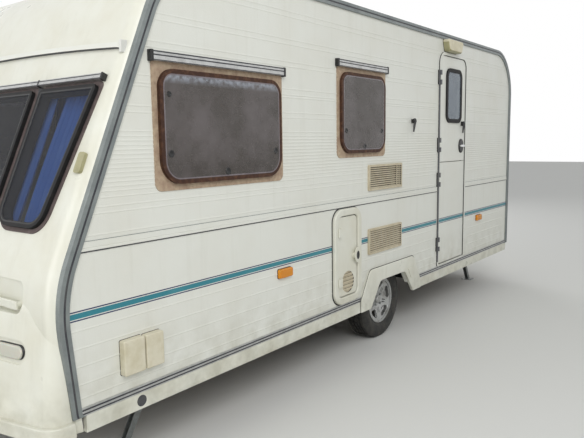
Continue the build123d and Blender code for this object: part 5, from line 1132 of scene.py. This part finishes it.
def retainer_knob_and_shadow(node, low, high):
    """Round head of a door retainer on the fitting between two corners, and a black rod hanging from it as
    its painted cast shadow.
    """
    knob_and_shadow = bmesh.new()
    knob = Vector(((low.x + high.x) / 2, high.y - 0.006, (low.z + high.z) / 2))
    # The black rod is the retainer's cast shadow, painted as a solid
    add_rod(knob_and_shadow, knob, knob + CATCH_SHADOW_ROD, 0.012, 16, 0.006)
    add_lathe(knob_and_shadow, RETAINER_PROFILE, knob, ACROSS, 28)
    place_piece(knob_and_shadow, node + "_knob_and_shadow", "black", body_of_node(node), smooth=40.0)


class CARAVAN_OT_door(bpy.types.Operator):
    """Finish the entrance door, its frame and its lock"""
    bl_idname = "caravan.door"
    bl_label = "Door"

    def execute(self, context):
        shade_parts("door_frame", ("wall", "black", "hinge"), frame_part)
        shade("wall", "door_upper", "door_lower")
        strip = bmesh.new()
        edge = Vector((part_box("door_frame")[1].x - LEAF_INSET, WALL_Y, 0.0))
        low, high = (edge + Vector(corner) for corner in zip(*HINGE_STRIP))
        add_block(strip, low, high, 0.0015)
        place_piece(strip, "door_hinge_strip", "hinge")
        shade_parts("door_lock", ("black", "chrome"), lock_part)
        retainer_knob_and_shadow("wall_catch", *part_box("wall_catch"))
        retainer_knob_and_shadow("door_lock", *max(islands("door_lock"), key=lambda pair: pair[0].z))
        halo_of("door_lock", 0.004, 0.0012, "door_lock_gasket", lambda low, high: high.z < LOCK_TOP)
        return {"FINISHED"}


def hatch_part(spot, face):
    """Moulded leaf, louvred vent with painted shade between its louvres, or black on the leaf's edges as
    painted shade in the gap round it.
    """
    ahead, height, radius = HATCH_VENT
    in_vent = math.hypot(spot.x - AXLE.x - ahead, spot.z - height) < radius
    if in_vent and spot.y > WALL_Y + 0.0045:
        # Vent faces that do not face out are near black: painted shade between the louvres
        return 1 if face.normal.y > 0.6 else 3
    # Faces of the leaf that lie back in the frame are black: painted shade in the gap round the leaf
    return 2 if spot.y < WALL_Y + 0.006 else 0


def vent_part(spot, face, vents):
    """Bleached frame and louvre faces, or near black between the louvres as painted shade."""
    within = any(
        low.x + VENT_RIM < spot.x < high.x - VENT_RIM and low.z + VENT_RIM < spot.z < high.z - VENT_RIM
        for low, high in vents
    )
    return within and face.normal.y < 0.6


class CARAVAN_OT_lockers(bpy.types.Operator):
    """Finish the gas hatch, its liner and the appliance vents"""
    bl_idname = "caravan.lockers"
    bl_label = "Hatch and vents"

    def execute(self, context):
        shade("moulding", "gas_hatch_frame")
        halo_of("gas_hatch_frame", 0.007, 0.003, "gas_hatch_gasket")
        shade_parts("gas_hatch_door", ("moulding", "vent", "black", "dark_gap"), hatch_part)
        lock = bmesh.new()
        spot = Vector((AXLE.x + HATCH_LOCK[0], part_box("gas_hatch_door")[1].y, HATCH_LOCK[1]))
        add_lathe(lock, KEY_PLATE_PROFILE, spot, ACROSS, 40)
        scale_about(lock.verts, spot, ((0, HATCH_LOCK_SQUEEZE),))
        place_piece(lock, "gas_hatch_lock", "black", body_of_node("gas_hatch_door"), smooth=40.0)
        dress("liner", "gas_locker_liner")
        vents = islands("appliance_vents")
        shade_parts("appliance_vents", ("vent", "dark_gap"), lambda spot, face: vent_part(spot, face, vents))
        # A dark sheet behind each vent's louvres: painted shade inside the vent
        louvre_shade_sheet = bmesh.new()
        for low, high in vents:
            along = (low.x + VENT_SHADE_INSET, high.x - VENT_SHADE_INSET)
            rise = (low.z + VENT_SHADE_INSET, high.z - VENT_SHADE_INSET)
            add_side_block(louvre_shade_sheet, 1.0, along, (WALL_Y + 0.004, WALL_Y + 0.005), rise)
        place_piece(louvre_shade_sheet, "vent_backing", "dark_gap")
        return {"FINISHED"}


def lamp_part(spot, face):
    """Red, amber or clear third of a rear lamp's lens, from the outside in."""
    return max(0, min(2, int((LAMP_OUTER_Y - abs(spot.y)) / LAMP_THIRD)))


def corner_marker(spot, face):
    """Clear round lens low on the front, or dull corner marker above."""
    return spot.z > CORNER_MARKER_Z


def front_lamp_gaskets():
    """Black gaskets behind the front's round lenses, shaped from the lenses."""
    copied = merged_copy("front_markers")
    for group, low, high in kept_islands(copied, lambda low, high: high.z <= CORNER_MARKER_Z):
        scale_about(group, (low + high) / 2, ((1, 1.045), (2, 1.10)))
        for vert in group:
            vert.co.x -= 0.0085
    place_piece(copied, "front_lamp_gaskets", "black", smooth=40.0)


def skirt_plugs():
    """Round rubber plugs in the skirts ahead of the front steadies."""
    plugs = bmesh.new()
    for side, sign in SIDES:
        spot = Vector((AXLE.x + SKIRT_PLUG[0], sign * (WALL_Y + 0.010), SKIRT_PLUG[1]))
        add_lathe(plugs, PLUG_PROFILE, spot, (0, sign, 0), 36)
    place_piece(plugs, "skirt_plugs", "insert", smooth=40.0)


class CARAVAN_OT_fittings(bpy.types.Operator):
    """Finish the lamps, boxes, handles and roof fittings"""
    bl_idname = "caravan.fittings"
    bl_label = "Fittings"

    def execute(self, context):
        shade("ivory", "inlet_boxes")
        shade("amber", "side_markers")
        shade("moulding", "grab_handles")
        shade("cream", "rooflight_frame", "rooflight_lid", "roof_vent")
        shade_parts("awning_lamp", ("cream", "dull_lens"), lambda spot, face: face.normal.z < -0.3, 40.0)
        shade_parts("front_markers", ("clear", "dull_lens"), corner_marker)
        lens_ends = [sign * (LAMP_OUTER_Y - share * LAMP_THIRD) for share in (1, 2) for sign in (-1, 1)]
        shade_parts("rear_lamps", ("red", "amber", "clear"), lamp_part, cuts=lens_ends)
        halo_of("inlet_boxes", 0.002, 0.0012, "inlet_gasket")
        halo_of("side_markers", 0.003, 0.0015, "marker_gasket", lambda low, high: low.y > 0)
        halo_of("awning_lamp", 0.003, 0.003, "awning_lamp_base")
        front_lamp_gaskets()
        skirt_plugs()
        dress("white", "number_plate")
        dress("black", "wall_catch")
        return {"FINISHED"}


def tyre_profile(radius, half, depth):
    """Section of a tyre as (along the axle, radius) pairs: bead, sidewall and grooved tread, closed."""
    section = [
        (0.056, BEAD_RADIUS), (0.066, BEAD_RADIUS), (0.066, 0.184), (0.074, 0.196), (0.080, 0.205),
        (0.0815, 0.2065), (0.0835, 0.2065), (half - 0.0005, 0.226), (half, 0.240), (half - 0.003, 0.256),
        (half - 0.008, 0.272), (half - 0.0125, 0.284), (half - 0.022, radius - 0.004),
    ]
    top = radius - 0.0005
    for middle in GROOVES:
        section += [
            (middle + 0.005, top), (middle + 0.0035, top - depth),
            (middle - 0.0035, top - depth), (middle - 0.005, top),
        ]
    section += [(-along, out) for along, out in reversed(section)]
    return section + section[:1]


def treaded_tyre(centre, radius, half, depth):
    """A tyre spun from its section, with every third step of its ribs sunk as a cross cut."""
    tyre = bmesh.new()
    add_lathe(tyre, tyre_profile(radius, half, depth), centre, ACROSS, TYRE_STEPS)
    step = 2 * math.pi / TYRE_STEPS
    sunk = []
    for face in tyre.faces:
        turn = math.atan2(*(face.calc_center_median() - centre).zx)
        if is_tread(face, centre, radius) and int(turn / step + 2 * TYRE_STEPS) % 3 == 0:
            sunk.append(face)
    bmesh.ops.inset_individual(tyre, faces=sunk, thickness=0.0012, depth=-depth * 0.7)
    return tyre


class CARAVAN_OT_wheels(bpy.types.Operator):
    """Make the treaded tyres and finish the alloy wheels"""
    bl_idname = "caravan.wheels"
    bl_label = "Wheels"

    def execute(self, context):
        depth = context.scene.caravan_sizes.tread_depth
        for side, sign in SIDES:
            low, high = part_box("tyre_" + side)
            centre = (low + high) / 2
            body = "wheel_" + side[0]
            tyre = treaded_tyre(centre, (high.z - low.z) / 2, (high.y - low.y) / 2, depth)
            place_piece(tyre, "tyre_tread_" + side, "tyre", body, "tyre", ("tyre_" + side,), 35.0)
            shade("alloy", "wheel_" + side)
            face_y = centre.y + sign * WHEEL_FACE
            bolts = bmesh.new()
            for number in range(BOLT_COUNT):
                turn = 2 * math.pi / BOLT_COUNT * number + math.pi / BOLT_COUNT
                spot = Vector((math.cos(turn) * BOLT_CIRCLE, 0, math.sin(turn) * BOLT_CIRCLE))
                start = Vector((centre.x, face_y - sign * 0.004, centre.z)) + spot
                add_rod(bolts, start, start + ACROSS * sign * 0.016, BOLT_RADIUS, 6)
            place_piece(bolts, "wheel_bolts_" + side, "zinc", body, "alloy")
            cap = bmesh.new()
            profile = [(sign * along, out) for along, out in HUB_CAP_PROFILE]
            add_lathe(cap, profile, Vector((centre.x, face_y, centre.z)), ACROSS, 40)
            place_piece(cap, "hub_cap_" + side, "alloy", body, "alloy", (), 35.0)
        return {"FINISHED"}


def is_tread(face, centre, radius):
    """True for a face on the tyre's running surface."""
    spot = face.calc_center_median() - centre
    reach = math.hypot(spot.x, spot.z)
    return reach > radius - 0.0022 and abs(spot.y) < 0.066 and abs(face.normal.y) < 0.4


class CARAVAN_OT_chassis(bpy.types.Operator):
    """Finish the chassis, axle, coupling, jockey wheel and steadies"""
    bl_idname = "caravan.chassis"
    bl_label = "Chassis"

    def execute(self, context):
        for side, sign in SIDES:
            dress("zinc", "chassis_member_" + side, "steady_leg_front_" + side, "steady_leg_rear_" + side)
        dress("zinc", "cross_members", "drawbar", "steady_brackets")
        shade("zinc", "jockey_tube", "jockey_inner", "jockey_fork")
        shade("black_steel", "axle", "coupling_head", "hand_brake")
        shade("tyre", "jockey_wheel")
        dress("ply", "floor_panel")
        dress("black", "wheel_boxes")
        return {"FINISHED"}


def gathered_curtain(number, points, across, out, pleats):
    """One curtain drawn to the side: cloth in uneven pleats that hangs from its track."""
    seed = 1.7 * number
    up = across.cross(out)
    if up.z < 0:
        up = -up
    (left, right), (back, front), (foot, top) = [
        (min(point.dot(axis) for point in points), max(point.dot(axis) for point in points))
        for axis in (across, out, up)
    ]
    cloth = bmesh.new()
    cloth.loops.layers.uv.new("cloth")
    bmesh.ops.create_grid(cloth, x_segments=CURTAIN_STEPS * pleats, y_segments=36, size=0.5, calc_uvs=True)
    for vert in cloth.verts:
        along = vert.co.x + 0.5
        rise = vert.co.y + 0.5
        drop = 1.0 - rise
        # the folds wander and deepen on their way down, and are pressed flat in the top band
        wander = 0.35 * math.sin(3.1 * drop + seed) + 0.25 * math.sin(7.0 * along + 2.0 * drop + seed)
        turn = 2 * math.pi * pleats * along + wander * min(1.0, 3.0 * drop)
        uneven = 0.86 + 0.14 * math.sin(11.0 * along + seed + 1.3 * drop)
        deep = (0.62 + 0.30 * min(1.0, 1.6 * drop)) * uneven
        if rise > 0.95:
            deep *= 0.62
        depth = deep * math.sin(turn) + 0.06 * math.sin(2.0 * turn + 2.4 * drop)
        lean = 0.10 * math.sin(2.0 * turn + 0.6) / pleats
        place = 0.5 + (along - 0.5) * (0.90 + 0.05 * math.sin(4.0 * drop + seed)) + lean
        vert.co = (
            across * (left + (right - left) * place)
            + out * ((back + front) / 2 + (front - back) / 2 * depth)
            + up * (foot + (top - foot) * rise)
        )
    return place_piece(cloth, f"curtain_{number}", "curtain", ROOT, "curtain_fabric", ("curtains",), 60.0)


def clamp_to(vert, limit):
    """Move a vertex back inside the half sizes of its box."""
    for axis in range(3):
        vert.co[axis] = max(-limit[axis], min(limit[axis], vert.co[axis]))


def puffed_cushion(size):
    """Mesh of a seat cushion of a size, swollen by its foam, flat on its underside."""
    block = bmesh.new()
    half = [value / 2 - 0.010 for value in size]
    add_block(block, [-value for value in half], half, 0.022, 3)
    helper = link_object("cushion_start", mesh_from("cushion_start", block))
    remesh = helper.modifiers.new("even mesh", "REMESH")
    remesh.mode = "VOXEL"
    remesh.voxel_size = CUSHION_VOXEL
    even = evaluated_mesh(helper)
    helper.modifiers.remove(remesh)
    helper.data = even
    start = [vert.co.copy() for vert in even.vertices]
    cloth = helper.modifiers.new("foam", "CLOTH")
    cloth.settings.use_pressure = True
    cloth.settings.uniform_pressure_force = CUSHION_PRESSURE
    cloth.settings.effector_weights.gravity = 0.0
    cloth.settings.tension_stiffness = CUSHION_STIFFNESS
    for step in range(CUSHION_FRAMES):
        bpy.context.scene.frame_set(step + 1)
    puffed = evaluated_mesh(helper)
    helper.modifiers.remove(cloth)
    bpy.context.scene.frame_set(1)
    helper.data = puffed
    swollen = bmesh.new()
    swollen.from_mesh(helper.data)
    swollen.verts.ensure_lookup_table()
    limit = [value / 2 for value in size]
    for vert, first in zip(swollen.verts, start):
        move = vert.co - first
        if move.length > CUSHION_SWELL:
            vert.co = first + move.normalized() * CUSHION_SWELL
        seam = abs(first.z - 0.3 * half[2])
        if seam < 0.012 and max(abs(first.x) - half[0], abs(first.y) - half[1]) > -0.01:
            vert.co.xy *= 0.997
        clamp_to(vert, limit)
        if first.z < -half[2] + 0.004:
            vert.co.z = -limit[2]
    bpy.data.objects.remove(helper)
    bmesh.ops.smooth_vert(
        swollen, verts=swollen.verts, factor=0.4, use_axis_x=True, use_axis_y=True, use_axis_z=True
    )
    bmesh.ops.subdivide_edges(swollen, edges=swollen.edges, cuts=1, use_grid_fill=True, smooth=0.6)
    for vert in swollen.verts:
        clamp_to(vert, limit)
    return swollen


def cut_loop(cushion, level):
    """Every second point of the closed line along which a level cuts a cushion."""
    cut = cushion.copy()
    found = cut_across(cut, UP, level)
    edges = {one for one in found if isinstance(one, bmesh.types.BMEdge)}
    vert = next(one for one in found if isinstance(one, bmesh.types.BMVert))
    loop = [vert.co.copy()]
    while edges:
        edge = next((one for one in vert.link_edges if one in edges), None)
        if edge is None:
            break
        edges.discard(edge)
        vert = edge.other_vert(vert)
        loop.append(vert.co.copy())
    cut.free()
    return loop[:-1:2]


def piping_of(cushion, half_height):
    """Corded piping round a cushion, along the lines where its sides meet its faces."""
    made = bmesh.new()
    for share in PIPING_LEVELS:
        points = cut_loop(cushion, share * half_height)
        cord = bpy.data.curves.new("piping", "CURVE")
        cord.dimensions = "3D"
        cord.bevel_depth = PIPING_RADIUS
        cord.bevel_resolution = 2
        line = cord.splines.new("POLY")
        line.points.add(len(points) - 1)
        for knot, point in zip(line.points, points):
            knot.co = (point.x * 0.998, point.y * 0.998, point.z, 1.0)
        line.use_cyclic_u = True
        holder = link_object("piping", cord)
        mesh = evaluated_mesh(holder)
        made.from_mesh(mesh)
        bpy.data.objects.remove(holder)
        bpy.data.meshes.remove(mesh)
    bmesh.ops.recalc_face_normals(made, faces=made.faces[:])
    return made


def moved_copy(template, offset):
    """A copy of a bmesh, moved."""
    copied = template.copy()
    bmesh.ops.translate(copied, verts=copied.verts, vec=offset)
    return copied


def hang_curtain(number, points, pleats):
    low, high = corners_of(points)
    if high.y - low.y < 0.1:
        piece = gathered_curtain(number, points, Vector((1.0, 0.0, 0.0)), ACROSS, pleats)
    else:
        middle = (low.y + high.y) / 2
        outer = abs(middle) > 0.75
        wider = CURTAIN_OUTER_SHARE if outer else CURTAIN_INNER_SHARE
        fixed = high.y if (middle > 0) == outer else low.y
        points = [Vector((point.x, fixed + (point.y - fixed) * wider, point.z)) for point in points]
        folds = max(3, round(pleats * wider * 0.8))
        piece = gathered_curtain(number, points, ACROSS, SLOPE_OUT, folds)


class CARAVAN_OT_inside(bpy.types.Operator):
    """Finish the furniture, and make the cushions and gathered curtains"""
    bl_idname = "caravan.inside"
    bl_label = "Inside"

    def execute(self, context):
        dress("board", "furniture")
        dress("cream", "curtain_tracks")
        copied = merged_copy("curtains")
        groups = [[vert.co.copy() for vert in group] for group in island_verts(copied)]
        copied.free()
        for number, points in enumerate(groups):
            hang_curtain(number, points, context.scene.caravan_sizes.pleats)
        boxes = islands("seat_cushions")
        size = boxes[0][1] - boxes[0][0]
        template = puffed_cushion(size)
        cord = piping_of(template, size.z / 2)
        for number, (low, high) in enumerate(boxes):
            cushion = moved_copy(template, (low + high) / 2)
            name = f"seat_cushion_{number}"
            piece = place_piece(cushion, name, "cushion", ROOT, "cushion_fabric", ("seat_cushions",), 60.0)
            piping = moved_copy(cord, (low + high) / 2)
            place_piece(piping, f"seat_piping_{number}", "piping", ROOT, "cushion_fabric", (), 60.0)
        template.free()
        cord.free()
        return {"FINISHED"}


# Soft lights: place, aim, size and power
LIGHTS = {
    "key light": ((5.5, 7.0, 6.5), (0.0, 0.5, 1.2), 5.0, 430.0),
    "front fill": ((8.5, -1.0, 3.0), (1.5, 0.0, 1.2), 4.0, 150.0),
    "rear fill": ((-8.0, -6.0, 5.0), (-1.0, 0.0, 1.2), 5.0, 220.0),
}

# Measured from the photograph's straight edges: where the camera stands, looks and leans, and its lens
CAMERA_STAND = Vector((3.5565, 3.360, 1.568))
CAMERA_LOOK = Vector((-0.78649, -0.60481, -0.12507)).normalized()
CAMERA_UP = Vector((-0.10786, -0.06489, 0.99205))
CAMERA_LENS = 37.68


class CARAVAN_OT_stage(bpy.types.Operator):
    """Set the pale floor, the soft light and the camera"""
    bl_idname = "caravan.stage"
    bl_label = "Stage"

    def execute(self, context):
        scene = context.scene
        scene.view_settings.view_transform = "Standard"
        ground = bmesh.new()
        bmesh.ops.create_grid(ground, x_segments=1, y_segments=1, size=40.0)
        floor = link_object("floor", mesh_from("floor", ground))
        floor.data.materials.append(Finish("pale studio floor", linear("DCDCD8"), 0.9).material)
        studio_world(scene)
        for name, (place, aim, size, power) in LIGHTS.items():
            lamp = bpy.data.lights.new(name, "AREA")
            lamp.energy = power
            lamp.size = size
            holder = link_object(name, lamp)
            holder.location = place
            holder.rotation_euler = (Vector(aim) - Vector(place)).to_track_quat("-Z", "Y").to_euler()
        camera_data = bpy.data.cameras.new("camera")
        camera_data.sensor_width = 36.0
        camera_data.lens = CAMERA_LENS
        camera = link_object("camera", camera_data)
        right = CAMERA_LOOK.cross(CAMERA_UP).normalized()
        turn = Matrix((right, right.cross(CAMERA_LOOK), -CAMERA_LOOK)).transposed().to_4x4()
        camera.matrix_world = Matrix.Translation(CAMERA_STAND) @ turn
        scene.camera = camera
        return {"FINISHED"}


def studio_world(scene):
    """Even soft light, with a white background for what the camera and mirrors see."""
    world = bpy.data.worlds.new("studio")
    scene.world = world
    world.use_nodes = True
    tree = world.node_tree
    tree.nodes.clear()
    path = add(tree, "ShaderNodeLightPath").outputs
    seen = path["Is Camera Ray"]
    for other in ("Is Glossy Ray", "Is Transmission Ray"):
        seen = add(tree, "ShaderNodeMath", {0: seen, 1: path[other]}, operation="MAXIMUM").outputs[0]
    light = add(tree, "ShaderNodeBackground", {"Color": linear("F2F4F6"), "Strength": 0.56})
    white = add(tree, "ShaderNodeBackground", {"Color": (1.0, 1.0, 1.0, 1.0), "Strength": 1.0})
    mixed = add(tree, "ShaderNodeMixShader", {0: seen, 1: light.outputs[0], 2: white.outputs[0]})
    output = add(tree, "ShaderNodeOutputWorld")
    tree.links.new(mixed.outputs[0], output.inputs["Surface"])


OPERATORS = (
    CARAVAN_OT_stage,
    CARAVAN_OT_walls,
    CARAVAN_OT_stripes,
    CARAVAN_OT_panels,
    CARAVAN_OT_rails,
    CARAVAN_OT_windows,
    CARAVAN_OT_door,
    CARAVAN_OT_lockers,
    CARAVAN_OT_fittings,
    CARAVAN_OT_wheels,
    CARAVAN_OT_chassis,
    CARAVAN_OT_inside,
)


class CARAVAN_PT_panel(bpy.types.Panel):
    """Sidebar panel with the caravan's colours, sizes and steps"""
    bl_idname = "CARAVAN_PT_panel"
    bl_label = "Caravan"
    bl_space_type = "VIEW_3D"
    bl_region_type = "UI"
    bl_category = "Caravan"

    def draw(self, context):
        for group in (context.scene.caravan_colours, context.scene.caravan_sizes):
            for name in group.__annotations__:
                self.layout.prop(group, name)
        for operator in OPERATORS:
            self.layout.operator(operator.bl_idname)


CLASSES = (CaravanColours, CaravanSizes, *OPERATORS, CARAVAN_PT_panel)


def register():
    for one in CLASSES:
        bpy.utils.register_class(one)
    bpy.types.Scene.caravan_colours = PointerProperty(type=CaravanColours)
    bpy.types.Scene.caravan_sizes = PointerProperty(type=CaravanSizes)


def unregister():
    del bpy.types.Scene.caravan_sizes
    del bpy.types.Scene.caravan_colours
    for one in reversed(CLASSES):
        bpy.utils.unregister_class(one)


def main():
    """Register, and make every piece in order."""
    register()
    for operator in OPERATORS:
        group, name = operator.bl_idname.split(".")
        getattr(getattr(bpy.ops, group), name)()


if __name__ == "__main__":
    main()
